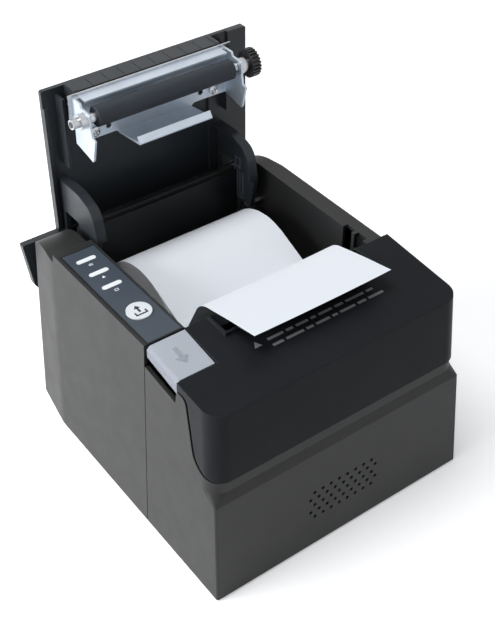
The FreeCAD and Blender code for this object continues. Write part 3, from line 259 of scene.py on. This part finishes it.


# %% [markdown]
# The painted shade of the flank and the printed border go in front of the colour that a finished material
# already has, so the key and the film are made first and these are laid on after.

# %% Key and film materials
key = surface("key_abs", (0.36, 0.39, 0.43), 0.03, (0.40, 0.50), 2400, 0.00004, gloss=0.4,
              edge=HALF_MM, edge_wear_and_sheen=(0.50, 0.53, 0.57))
film = surface("film", (0.042, 0.055, 0.072), 0.05, (0.30, 0.38), 3000, 0.00002, gloss=0.4)
diffuser = surface("diffuser", (0.74, 0.77, 0.79), 0.02, (0.25, 0.32), 1500, 0.00002)
button = surface("button_abs", (0.62, 0.66, 0.69), 0.03, (0.36, 0.44), 2400, 0.00003, gloss=0.4,
                 edge=0.3 * MM)
# Painted shade on the lever's left flank.
paint_flank_shade(key, (0.165, 0.180, 0.215))
print_border(film, "panel_overlay", 0.7 * MM, (0.008, 0.010, 0.013))
told("key finishes", (key, film, diffuser, button))

# %% [markdown]
# ## Metal, rubber and paper
# The sheet parts of the lid are zinc plated: a cool grey metal with a faint cloudy bloom and drawing lines
# along the sheet. Shafts and blades are ground along their length. The roller is fine ground rubber, and
# the paper is coated white with hardly any grain. Its free end is painted a little greyer than the roll,
# as painted shade on the same paper.

# %% Metal, rubber and paper materials
PAPER_WHITE = (0.73, 0.76, 0.80)
zinc = surface("zinc_sheet", (0.52, 0.58, 0.65), 0.05, (0.44, 0.56), 420, 0.000012, 0.82,
               (1.0, 5.0, 5.0), 90.0, edge=0.3 * MM, edge_wear_and_sheen=(0.66, 0.69, 0.72))
steel = surface("ground_steel", (0.50, 0.51, 0.53), 0.06, (0.20, 0.32), 900, 0.000012, 1.0,
                (0.2, 5.0, 5.0), 150.0)
alloy = surface("alloy", (0.56, 0.57, 0.58), 0.05, (0.30, 0.42), 800, 0.00003, 1.0)
glaze = surface("glaze", (0.10, 0.09, 0.08), 0.05, (0.10, 0.18), 500, 0.00001)
lacquer = surface("board_lacquer", (0.02, 0.12, 0.05), 0.10, (0.25, 0.38), 500, 0.00002)
acetal = surface("white_acetal", (0.66, 0.65, 0.61), 0.03, (0.35, 0.45), 1500, 0.00003)
rubber = surface("roller_rubber", (0.017, 0.022, 0.029), 0.10, (0.46, 0.58), 2500, 0.00005, gloss=0.3)
foot = surface("foot_rubber", (0.016, 0.016, 0.016), 0.08, (0.60, 0.75), 1500, 0.00006)
paper = surface("thermal_paper", PAPER_WHITE, 0.010, (0.50, 0.60), 2500, 0.00002, gloss=0.3)
core = surface("roll_core", (0.52, 0.50, 0.46), 0.05, (0.50, 0.60), 900, 0.00004)
# Dark ink prints the feed sign; the same dark is painted shade in the pierced dots and the shaft's bore.
ink_and_shade = surface("dark_ink_and_painted_shade", (0.020, 0.022, 0.026), 0.05, (0.45, 0.55), 1500, 0.00001)
pale_ink = surface("pale_ink", (0.20, 0.205, 0.21), 0.05, (0.45, 0.55), 1500, 0.00001)
# The raised arrow is the key's grey; this darker tone is painted shade for its relief.
key_painted_shade = surface("key_raised_painted_shade", (0.27, 0.295, 0.33), 0.03, (0.40, 0.50), 2400, 0.00003, gloss=0.4)
contact = surface("gilt_contact", (0.72, 0.52, 0.22), 0.05, (0.22, 0.32), 900, 0.00001, 1.0)
# Painted shade: the free end of the strip is the same paper made greyer.
paint_free_end_shade(paper, (0.665, 0.695, 0.735), 12 * MM, -22 * MM)
told("metal finishes", (zinc, steel, alloy, contact))
told("other finishes", (glaze, lacquer, acetal, rubber, foot, paper, core, ink_and_shade, pale_ink, key_painted_shade))

# %% [markdown]
# ## The roll's ends
# A roll of paper is one long strip, so its cut ends show the turns as fine
# rings. The distance from the roll's axis drives a one-dimensional noise: each
# ring is one value of that distance, and the round face stays one colour.

# %% Roll material
ROLL_Y, ROLL_Z, ROLL_R = 33.6, 65.4, 34.1
TURNS_SCALE = 1800


def roll_material():
    """Paper white on the outside, and rings of two greys on the cut ends."""
    mat, tree, shader, coords = new_material("roll_paper")
    low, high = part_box("paper_roll")
    place = tree.nodes.new("ShaderNodeVectorMath")
    place.operation = "SUBTRACT"
    place.inputs[1].default_value = (low + high) / 2
    tree.links.new(coords.outputs["Object"], place.inputs[0])
    across = tree.nodes.new("ShaderNodeVectorMath")
    across.operation = "MULTIPLY"
    across.inputs[1].default_value = (0, 1, 1)
    tree.links.new(place.outputs["Vector"], across.inputs[0])
    length = tree.nodes.new("ShaderNodeVectorMath")
    length.operation = "LENGTH"
    tree.links.new(across.outputs["Vector"], length.inputs[0])
    turns = tree.nodes.new("ShaderNodeTexNoise")
    turns.noise_dimensions = "1D"
    turns.inputs["Scale"].default_value = TURNS_SCALE
    turns.inputs["Detail"].default_value = 2.0
    tree.links.new(length.outputs["Value"], turns.inputs["W"])
    rings = span(tree, turns.outputs["Fac"], 0, 1)
    cut = blended(tree, rings, (0.58, 0.60, 0.63), (0.70, 0.72, 0.75))
    outside = span(tree, length.outputs["Value"], 0, 1, (ROLL_R - 0.15) * MM, (ROLL_R - 0.05) * MM)
    tree.links.new(blended(tree, outside, cut, PAPER_WHITE), shader.inputs["Base Color"])
    tree.links.new(span(tree, noise(tree, coords, 60, 3.0), 0.5, 0.62), shader.inputs["Roughness"])
    shader.inputs["Specular IOR Level"].default_value = 0.3
    bump(tree, shader, turns.outputs["Fac"], 0.25, 0.00006)
    return mat


roll_paper = roll_material()
print("roll finish:", roll_paper.name)

# %% [markdown]
# ## Giving out the finishes
# Every solid gets exactly one finish, by what the real piece is made of. The pieces that the list leaves
# without one are printed.

# %% Assign
FINISH = [
    (shell, ["main_housing", "front_housing", "rear_panel", "base_plate"]),
    (cover_abs, ["front_cover"]),
    (lid_abs, ["lid_shell", "paper_lip"]),
    (inner, ["paper_tub", "lever_seat"]),
    (key, ["push_lever"]),
    (film, ["panel_overlay"]),
    (diffuser, ["led_bars"]),
    (button, ["feed_button"]),
    (moulded, ["platen_gear", "power_inlet", "drawer_socket", "switch_frame", "switch_rocker", "speaker"]),
    (acetal, ["idler_gear", "motor_pinion", "cutter_gear"]),
    (zinc, ["platen_bracket", "chassis", "cutter_frame", "latch_bar", "usb_socket", "network_socket"]),
    (steel, ["platen_shaft", "platen_bushings", "hinge_pins", "fixed_blade", "cutter_blade", "idler_stud",
             "cutter_motor", "feed_motor"]),
    (alloy, ["thermal_head"]),
    (glaze, ["head_ceramic"]),
    (lacquer, ["main_board", "panel_board"]),
    (rubber, ["platen_roller"]),
    (foot, ["rubber_feet"]),
    (roll_paper, ["paper_roll"]),
    (core, ["paper_core"]),
    (paper, ["paper_strip"]),
]
for mat, names in FINISH:
    for name in names:
        nodes[name].data.materials.clear()
        nodes[name].data.materials.append(mat)
bare = sorted(set(nodes) - {n for _, names in FINISH for n in names})
print("finishes:", len(FINISH), "pieces without one:", bare)

# %% [markdown]
# ## Smooth shading
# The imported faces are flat. Shading by angle keeps creases sharp and lets the
# rounds run smoothly, as a moulded part looks.

# %% Shade the solids
SOLID_CREASE, SHEET_CREASE, PART_CREASE = (math.radians(a) for a in (28, 40, 30))


def only(obj):
    """Make this the one chosen and active object."""
    bpy.ops.object.select_all(action="DESELECT")
    obj.select_set(True)
    bpy.context.view_layer.objects.active = obj


for obj in nodes.values():
    only(obj)
    bpy.ops.object.shade_smooth_by_angle(angle=SOLID_CREASE)
print("shaded", len(nodes))

# %% [markdown]
# ## The paper that hangs out
# The strip leaves the top of the roll, dips into the open mechanism and rises over the cover, as curled
# paper does. It is far thinner than its solid, so it is drawn again as a sheet: its side line is made of
# straight runs and rounds, swept over the paper's width, with a slight trough across.

# %% Side line of the paper
def rounded_line(points, steps):
    """Points along a line whose inner corners (y, z, radius) are rounded."""
    line = [Vector(points[0][:2])]
    for before, corner, after in zip(points, points[1:], points[2:]):
        here = Vector(corner[:2])
        one = (Vector(before[:2]) - here).normalized()
        two = (Vector(after[:2]) - here).normalized()
        half = one.angle(two) / 2
        radius = corner[2]
        centre = here + (one + two).normalized() * radius / math.sin(half)
        first = here + one * radius / math.tan(half) - centre
        last = here + two * radius / math.tan(half) - centre
        turn = first.angle_signed(last)
        for i in range(steps + 1):
            a = -turn * i / steps
            c, s = math.cos(a), math.sin(a)
            line.append(centre + Vector((first.x * c - first.y * s, first.x * s + first.y * c)))
    line.append(Vector(points[-1][:2]))
    return line


def over_roll(angle, gap):
    """The point at that angle, a gap above the roll's outside."""
    a = math.radians(angle)
    return (ROLL_Y + (ROLL_R + gap) * math.cos(a), ROLL_Z + (ROLL_R + gap) * math.sin(a))


WRAP_GAP, LEAVE_GAP = 0.15, 0.35
CORNER_STEPS = 14
wrap = [over_roll(angle, WRAP_GAP) for angle in (88, 93, 98, 103, 108)]
leave = over_roll(112, LEAVE_GAP)
corners = [(-5.6, 86.0, 8), (-19.4, 113.7, 14), (-42.0, 119.3, 60)]
free = rounded_line([leave, *corners, (-62.2, 123.6)], CORNER_STEPS)
side = [Vector(p) for p in wrap] + free

# %% [markdown]
# Rows of grid cells follow the side line, so the sheet is made straight from
# points. The paper keeps a little of the roll's curl across its width: the
# free part sinks by half a millimetre in the middle. Solidify gives it the
# tenth of a millimetre that coated paper has.

# %% Paper sheet
PAPER_X, PAPER_W = 6.0, 79.5
COLUMNS, LOOSE_ROWS = 16, 12
SAG, THICKNESS = 0.5, 0.1


def paper_sheet():
    """The side line swept over the width, with a trough that grows along the free part."""
    points = []
    for i, p in enumerate(side):
        loose = min(1.0, max(0, i - len(wrap)) / LOOSE_ROWS)
        for j in range(COLUMNS + 1):
            u = 2 * j / COLUMNS - 1
            x = PAPER_X + PAPER_W / 2 * u
            z = p.y - SAG * loose * (1 - u * u)
            points.append((x * MM, p.x * MM, z * MM))
    row = COLUMNS + 1
    cells = [(i * row + j, i * row + j + 1, (i + 1) * row + j + 1, (i + 1) * row + j)
             for i in range(len(side) - 1) for j in range(COLUMNS)]
    mesh = bpy.data.meshes.new("paper_sheet")
    mesh.from_pydata(points, [], cells)
    obj = bpy.data.objects.new("paper_sheet", mesh)
    bpy.context.scene.collection.objects.link(obj)
    only(obj)
    thick = obj.modifiers.new("thickness", "SOLIDIFY")
    thick.thickness = THICKNESS * MM
    thick.offset = 0.0
    bpy.ops.object.modifier_apply(modifier="thickness")
    bpy.ops.object.mode_set(mode="EDIT")
    bpy.ops.mesh.select_all(action="SELECT")
    bpy.ops.mesh.normals_make_consistent(inside=False)
    bpy.ops.object.mode_set(mode="OBJECT")
    bpy.ops.object.shade_smooth_by_angle(angle=SHEET_CREASE)
    obj.data.materials.append(paper)
    return obj


strip = paper_sheet()
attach(strip, "base")
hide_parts("paper_strip")
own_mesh(strip)
print("paper sheet faces:", len(strip.data.polygons))

# %% [markdown]
# ## Tools for the small parts
# A small part starts as a primitive, gets its form in edit mode and is then set
# in place with its transform applied. Faces are picked by the way they look,
# and a piece that repeats is copied with a mesh of its own.

# %% Small part tools
FACING = 0.95


def pick(obj, direction):
    """In edit mode, with only the faces that look along direction chosen."""
    only(obj)
    bpy.ops.object.mode_set(mode="EDIT")
    bpy.ops.mesh.select_mode(type="FACE")
    bpy.ops.mesh.select_all(action="DESELECT")
    bpy.ops.object.mode_set(mode="OBJECT")
    for face in obj.data.polygons:
        face.select = face.normal.dot(Vector(direction)) > FACING
    bpy.ops.object.mode_set(mode="EDIT")


def settle(obj, place, turn=(0, 0, 0)):
    """Put the part in place and make that its mesh's own position."""
    if obj.mode == "EDIT":
        bpy.ops.object.mode_set(mode="OBJECT")
    only(obj)
    obj.rotation_euler = [math.radians(a) for a in turn]
    obj.location = [v * MM for v in place]
    bpy.ops.object.transform_apply(location=True, rotation=True, scale=True)
    return obj


def copied(obj, name, shift):
    """A copy with a mesh of its own, moved by shift."""
    only(obj)
    bpy.ops.object.duplicate(linked=False)
    twin = bpy.context.object
    twin.name = name
    bpy.ops.transform.translate(value=[v * MM for v in shift])
    bpy.ops.object.transform_apply(location=True, rotation=True, scale=True)
    return twin


def repeated(first, stem, shifts):
    """The first piece and its copies, numbered on from it."""
    return [first] + [copied(first, "%s_%d" % (stem, i), shift) for i, shift in enumerate(shifts, 2)]


def finish_part(obj, mat, body):
    """Shade the part, give it its finish and let it ride on a body."""
    only(obj)
    bpy.ops.object.shade_smooth_by_angle(angle=PART_CREASE)
    obj.data.materials.clear()
    obj.data.materials.append(mat)
    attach(obj, body)


# %% [markdown]
# ## Screws
# Two cross-recess screws hold the sheet-metal bracket to the lid, and four more
# hold the base plate. The head is a disc whose top is drawn in twice to a low
# dome. Two bars then cut the cross, each a share of the head's own size.

# %% Screw heads
DISC_SHARE = 0.6
CROSS_LONG, CROSS_WIDE, CROSS_DEEP, CROSS_TURN = 1.15, 0.26, 0.8, 20


def screw(name, radius, height):
    """A domed head with a cross recess, looking up."""
    bpy.ops.object.select_all(action="DESELECT")
    bpy.ops.mesh.primitive_cylinder_add(vertices=32, radius=radius * MM, depth=height * DISC_SHARE * MM)
    head = bpy.context.object
    head.name = name
    pick(head, (0, 0, 1))
    for draw_in, rise in ((0.16, 0.22), (0.24, 0.18)):
        bpy.ops.mesh.inset(thickness=radius * draw_in * MM)
        bpy.ops.transform.translate(value=(0, 0, height * rise * MM))
    bpy.ops.object.mode_set(mode="OBJECT")
    for angle in (0, 90):
        bpy.ops.object.select_all(action="DESELECT")
        bpy.ops.mesh.primitive_cube_add(size=1.0, location=(0, 0, height * DISC_SHARE * MM))
        bar = bpy.context.object
        bar.scale = (radius * CROSS_LONG * MM, radius * CROSS_WIDE * MM, height * CROSS_DEEP * MM)
        bar.rotation_euler = (0, 0, math.radians(angle + CROSS_TURN))
        cut = head.modifiers.new("cross", "BOOLEAN")
        cut.object = bar
        cut.operation = "DIFFERENCE"
        cut.solver = "EXACT"
        only(head)
        bpy.ops.object.modifier_apply(modifier="cross")
        bpy.data.objects.remove(bar, do_unlink=True)
    return head


SHEET_FACE = 75.5
SCREW_R, SCREW_HIGH = 2.7, 1.4
SCREW_X, SCREW_Z = (-29.5, 41.5), 158.1
screw_y = SHEET_FACE - SCREW_HIGH * DISC_SHARE / 2
left = settle(screw("bracket_screw_1", SCREW_R, SCREW_HIGH), (SCREW_X[0], screw_y, SCREW_Z), (90, 0, 0))
upper = repeated(left, "bracket_screw", [(SCREW_X[1] - SCREW_X[0], 0, 0)])
BASE_SCREWS, BASE_Z = ((-66, -60), (66, -60), (-62, 58), (62, 58)), 0.7
x0, y0 = BASE_SCREWS[0]
under = settle(screw("base_screw_1", 3.0, 1.0), (x0, y0, BASE_Z), (180, 0, 0))
lower = repeated(under, "base_screw", [(x - x0, y - y0, 0) for x, y in BASE_SCREWS[1:]])
for part in upper:
    finish_part(part, steel, "lid")
for part in lower:
    finish_part(part, steel, "base")
print("screws:", len(upper) + len(lower))

# %% [markdown]
# ## Pierced dots, the hollow shaft and a dimple
# The punch that pierces the sheet leaves small dots near its upper edge, the shaft of the roller is a tube
# whose bore shows as a dark disc, and the right ledge has a small dimple. All are drawn as shallow cups: a
# thin disc whose face is drawn in and sunk. The dark of the dots and of the bore is painted shade, for the
# dark inside a hole; the dimple takes the same material.

# %% Cups
CUP_SINK = 0.6


def cup(name, radius, rim, depth, sides):
    """A thin disc with a rim and a sunk face, looking up."""
    bpy.ops.object.select_all(action="DESELECT")
    bpy.ops.mesh.primitive_cylinder_add(vertices=sides, radius=radius * MM, depth=depth * MM)
    disc = bpy.context.object
    disc.name = name
    pick(disc, (0, 0, 1))
    bpy.ops.mesh.inset(thickness=rim * MM)
    bpy.ops.transform.translate(value=(0, 0, -depth * CUP_SINK * MM))
    return disc


DOT_X, DOT_Y, DOT_Z = (-28, -22, 2, 8, 30, 36), SHEET_FACE - 0.04, 176.0
first = settle(cup("pierced_dot_1", 0.45, 0.1, 0.12, 16), (DOT_X[0], DOT_Y, DOT_Z), (90, 0, 0))
dots = repeated(first, "pierced_dot", [(x - DOT_X[0], 0, 0) for x in DOT_X[1:]])
# The dark dots are painted shade for the pierced holes.
for dot in dots:
    finish_part(dot, ink_and_shade, "lid")
# The dark disc is painted shade for the inside of the bore.
bore = settle(cup("shaft_bore", 1.55, 0.2, 0.3, 32), (-47.1, 65.7, 172.5), (0, -90, 0))
finish_part(bore, ink_and_shade, "platen")
dimple = settle(cup("ledge_dimple", 0.9, 0.2, 0.12, 20), (66.8, 28.3, 110.66))
finish_part(dimple, ink_and_shade, "base")
print("cups:", len(dots) + 2)

# %% [markdown]
# ## Printed marks
# The film and the keys carry plain pictures: a power sign, a triangle and a sheet beside the lamps, a feed
# arrow on the round button and a raised arrow on the lever, in the lever's grey but painted darker as
# painted shade of its relief. The cover's note is rows of plain bars. Each mark is flat bars and
# triangles, lifted by the thickness of a layer of ink.

# %% Marks
INK_LIFT = 0.03


def mark(name, parts, lift=INK_LIFT):
    """One flat piece of bars ("bar", x, y, width, length) and triangles ("tip", x, y, half sizes)."""
    bpy.ops.object.select_all(action="DESELECT")
    bpy.ops.mesh.primitive_plane_add(size=1.0)
    obj = bpy.context.object
    obj.name = name
    bpy.ops.object.mode_set(mode="EDIT")
    bpy.ops.mesh.delete(type="VERT")
    for form, x, y, wide, long in parts:
        place = (x * MM, y * MM, 0)
        bpy.ops.mesh.select_all(action="DESELECT")
        if form == "bar":
            bpy.ops.mesh.primitive_plane_add(size=1.0, location=place)
        else:
            bpy.ops.mesh.primitive_circle_add(vertices=3, radius=1.0, fill_type="NGON", location=place)
        bpy.ops.transform.resize(value=(wide * MM, long * MM, 1), center_override=place)
    bpy.ops.mesh.select_all(action="SELECT")
    bpy.ops.mesh.extrude_region_move(TRANSFORM_OT_translate={"value": (0, 0, lift * MM)})
    bpy.ops.mesh.select_all(action="SELECT")
    bpy.ops.mesh.normals_make_consistent(inside=False)
    return obj


TOP = 115.0
LAMP_PITCH, SIGN_SHIFT = 12.0, 4.3
lamps_low, lamps_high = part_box("led_bars")
lamp_x = (lamps_low.x + lamps_high.x) / 2 / MM
lamp_y = (lamps_low.y + lamps_high.y) / 2 / MM
signs = (
    ("sign_power", 1, [("bar", 0, 0.0, 0.35, 1.6), ("bar", -0.8, -0.2, 0.3, 1.2),
                       ("bar", 0.8, -0.2, 0.3, 1.2), ("bar", 0, -0.9, 1.9, 0.3)]),
    ("sign_fault", 0, [("tip", 0, -0.2, 1.1, 1.1)]),
    ("sign_paper", -1, [("bar", 0, 0.7, 2.0, 0.3), ("bar", 0, -0.7, 2.0, 0.3),
                        ("bar", -0.85, 0, 0.3, 1.1), ("bar", 0.85, 0, 0.3, 1.1)]),
)
for name, step, parts in signs:
    sign = settle(mark(name, parts), (lamp_x, lamp_y + step * LAMP_PITCH - SIGN_SHIFT, TOP))
    finish_part(sign, diffuser, "base")

BUTTON_X, BUTTON_Y, BUTTON_RISE = -60.2, -8.9, 0.5
feed = mark("sign_feed", [("bar", 0, 0.4, 1.1, 3.4), ("tip", 0, 2.3, 2.0, 1.5),
                          ("bar", 0, -2.9, 6.4, 0.9), ("bar", -2.75, -1.6, 0.9, 1.7),
                          ("bar", 2.75, -1.6, 0.9, 1.7)])
finish_part(settle(feed, (BUTTON_X, BUTTON_Y, TOP + BUTTON_RISE)), ink_and_shade, "button")

LEVER_SLOPE, LEVER_REAR = 7.27, -32.0
ARROW_X, ARROW_Y = -61.0, -44.0
ARROW_HIGH, ARROW_SUNK = 0.25, 0.02
# The arrow's darker tone is painted shade of the relief.
arrow = mark("sign_press", [("bar", 0, 2.2, 2.0, 6.0), ("tip", 0, -2.2, -3.6, -2.6)], ARROW_HIGH)
arrow_z = TOP - (LEVER_REAR - ARROW_Y) * math.tan(math.radians(LEVER_SLOPE)) - ARROW_SUNK
finish_part(settle(arrow, (ARROW_X, ARROW_Y, arrow_z), (LEVER_SLOPE, 0, 0)), key_painted_shade, "lever")

BAR_ROWS = ((9, 4, 7, 3, 8, 5, 11, 4), (6, 10, 4, 8, 3, 9, 5, 9))
ROW_START, ROW_Y, ROW_PITCH = -23.0, 2.0, 4.2
BAR_HIGH, BAR_GAP = 1.5, 1.6
bars = [("tip", -29.0, 1.6, 2.4, 2.4)]
for row, lengths in enumerate(BAR_ROWS):
    x = ROW_START
    for length in lengths:
        bars.append(("bar", x + length / 2, ROW_Y - ROW_PITCH * row, length, BAR_HIGH))
        x += length + BAR_GAP
COVER_SLOPE, COVER_REAR, NOTE_Y = 5.0, -31.0, -59.5
note_z = TOP - (COVER_REAR - NOTE_Y) * math.tan(math.radians(COVER_SLOPE))
note = settle(mark("cover_note", bars), (0, NOTE_Y, note_z), (COVER_SLOPE, 0, 0))
finish_part(note, pale_ink, "cover")
print("marks:", len(signs) + 3)

# %% [markdown]
# ## Clip on the right arm
# The inner face of the lid's right arm has a small clip, drawn as an open frame, above three ribs on a
# foot. They are bars like those of the marks, only higher, and the piece is turned so that it stands on
# the arm's face and looks left. They are the lid's black plastic, painted paler as a painted highlight.

# %% Arm clip
ARM_FACE = (52.52, 66.5, 103.0)
RIB_WIDE, RIB_HIGH = 0.8, 0.9
ribs = [("bar", x, -3.0, RIB_WIDE, 16.0) for x in (-2.3, 0.3, 2.9)]
ribs.append(("bar", 0.3, -11.4, 6.0, RIB_WIDE))
ribs += [("bar", x, 10.3, RIB_WIDE, 5.0) for x in (-3.8, 0.4)]
ribs += [("bar", -1.7, y, 5.0, RIB_WIDE) for y in (7.4, 13.2)]
clip = settle(mark("arm_clip", ribs, RIB_HIGH), ARM_FACE, (90, 0, -90))
finish_part(clip, clip_painted_highlight, "lid")
print("clip bars:", len(ribs))

# %% [markdown]
# ## Contacts in the sockets
# Plugs are not in view, but the sockets at the back have their metal contacts.
# One contact is a small bar with broken edges; an Array modifier repeats it at
# the pitch of the socket.

# %% Contacts
def contacts(name, size, count, pitch, place, mat):
    """A row of bars with broken edges, centred on place."""
    bpy.ops.object.select_all(action="DESELECT")
    bpy.ops.mesh.primitive_cube_add(size=1.0)
    obj = bpy.context.object
    obj.name = name
    obj.scale = [v * MM for v in size]
    bpy.ops.object.transform_apply(location=True, rotation=True, scale=True)
    bpy.ops.object.mode_set(mode="EDIT")
    bpy.ops.mesh.select_all(action="SELECT")
    bpy.ops.mesh.bevel(offset=min(size) * 0.2 * MM, segments=2)
    bpy.ops.object.mode_set(mode="OBJECT")
    repeat = obj.modifiers.new("pitch", "ARRAY")
    repeat.count = count
    repeat.use_relative_offset = False
    repeat.use_constant_offset = True
    repeat.constant_offset_displace = (pitch * MM, 0, 0)
    bpy.ops.object.modifier_apply(modifier="pitch")
    x, y, z = place
    settle(obj, (x - pitch * (count - 1) / 2, y, z))
    finish_part(obj, mat, "base")


BACK = 87.5
SOCKETS = (
    ("power_pins", (0.9, 5.0, 0.9), 3, 1.8, (-44.0, BACK - 5.0, 19.5), steel),
    ("drawer_contacts", (0.5, 5.0, 0.5), 6, 1.2, (-22.0, BACK - 5.0, 21.6), contact),
    ("usb_contacts", (0.8, 4.0, 0.3), 4, 1.5, (2.0, BACK - 5.4, 18.5), contact),
    ("network_contacts", (0.5, 5.0, 0.5), 8, 1.05, (25.0, BACK - 5.0, 22.2), contact),
)
for socket in SOCKETS:
    contacts(*socket)
print("contact sets:", len(SOCKETS))

# %% [markdown]
# ## Camera
# The camera stands to the front left and above, about 0.6 m away, so the edges
# of the printer converge as they do in a shop picture.

# %% Place the camera
LENS, SENSOR = 66.6, 36.0
CAM_PLACE = (-0.2631, -0.3690, 0.4584)
CAM_TILT, CAM_TURN = 49.88, -36.32
cam_data = bpy.data.cameras.new("camera")
cam_data.lens = LENS
cam_data.sensor_width = SENSOR
cam_data.clip_start = 0.01
cam = bpy.data.objects.new("camera", cam_data)
cam.location = CAM_PLACE
cam.rotation_euler = (math.radians(CAM_TILT), 0, math.radians(CAM_TURN))
bpy.context.scene.collection.objects.link(cam)
bpy.context.scene.camera = cam
print("camera at", tuple(cam.location))

# %% [markdown]
# ## Studio
# A white floor runs under the printer and the background is white too. For the
# camera and for mirror images the floor glows a little, more so far from the
# lamps, so it reads as a white sweep and still takes the shadow.

# %% Floor and background
def seen(tree):
    """One for rays from the camera and for mirrored and passed rays, else zero."""
    rays = tree.nodes.new("ShaderNodeLightPath")
    total = rays.outputs["Is Camera Ray"]
    for kind in ("Is Glossy Ray", "Is Transmission Ray"):
        most = tree.nodes.new("ShaderNodeMath")
        most.operation = "MAXIMUM"
        tree.links.new(total, most.inputs[0])
        tree.links.new(rays.outputs[kind], most.inputs[1])
        total = most.outputs["Value"]
    return total


FLOOR_SIZE, FLOOR_Z = 6.0, -0.2 * MM
GLOW_NEAR, GLOW_FAR = 0.32, 0.85
NEAR_RADIUS, FAR_RADIUS = 0.5, 1.8
bpy.ops.object.select_all(action="DESELECT")
bpy.ops.mesh.primitive_plane_add(size=FLOOR_SIZE, location=(0, 0, FLOOR_Z))
floor = bpy.context.object
floor.name = "floor"
white_floor = surface("floor_white", (0.93, 0.93, 0.93), 0.004, (0.7, 0.8), 300, 0.00002)
tree = white_floor.node_tree
shader = tree.nodes["Principled BSDF"]
away = tree.nodes.new("ShaderNodeVectorMath")
away.operation = "LENGTH"
tree.links.new(tree.nodes["Texture Coordinate"].outputs["Object"], away.inputs[0])
glow = tree.nodes.new("ShaderNodeMath")
glow.operation = "MULTIPLY"
tree.links.new(seen(tree), glow.inputs[0])
fade = span(tree, away.outputs["Value"], GLOW_NEAR, GLOW_FAR, NEAR_RADIUS, FAR_RADIUS)
tree.links.new(fade, glow.inputs[1])
shader.inputs["Emission Color"].default_value = (1, 1, 1, 1)
tree.links.new(glow.outputs["Value"], shader.inputs["Emission Strength"])
floor.data.materials.append(white_floor)

AMBIENT_COLOUR, AMBIENT_STRENGTH = (0.9, 0.94, 1.0, 1), 0.33
world = bpy.data.worlds.new("studio")
world.use_nodes = True
bpy.context.scene.world = world
tree = world.node_tree
back = tree.nodes["Background"]
back.inputs["Color"].default_value = AMBIENT_COLOUR
back.inputs["Strength"].default_value = AMBIENT_STRENGTH
white = tree.nodes.new("ShaderNodeBackground")
white.inputs["Color"].default_value = (1, 1, 1, 1)
white.inputs["Strength"].default_value = 1.0
choose = tree.nodes.new("ShaderNodeMixShader")
tree.links.new(seen(tree), choose.inputs["Fac"])
tree.links.new(back.outputs["Background"], choose.inputs[1])
tree.links.new(white.outputs["Background"], choose.inputs[2])
tree.links.new(choose.outputs["Shader"], tree.nodes["World Output"].inputs["Surface"])
print("floor and background are white")

# %% [markdown]
# ## Lights
# Soft lights stand at the left and above, so the left wall shines pale and the
# front stays dark. A weak fill from the right opens the shadows a little.

# %% Lights
AIM = Vector((0, 0, 0.08))


def area(name, place, width, height, power):
    """A soft rectangular light that looks at the printer."""
    data = bpy.data.lights.new(name, "AREA")
    data.shape = "RECTANGLE"
    data.size = width
    data.size_y = height
    data.energy = power
    lamp = bpy.data.objects.new(name, data)
    lamp.location = place
    lamp.rotation_euler = (AIM - Vector(place)).to_track_quat("-Z", "Y").to_euler()
    bpy.context.scene.collection.objects.link(lamp)


area("left_soft", (-0.9, 0.3, 0.35), 0.9, 0.6, 13.5)
area("top_soft", (-0.25, 0.08, 1.0), 0.5, 0.5, 5.6)
area("front_fill", (0.6, -1.2, 0.7), 0.9, 0.7, 0.4)
bpy.context.scene.view_settings.view_transform = "Standard"
print("lights: left, top, front")
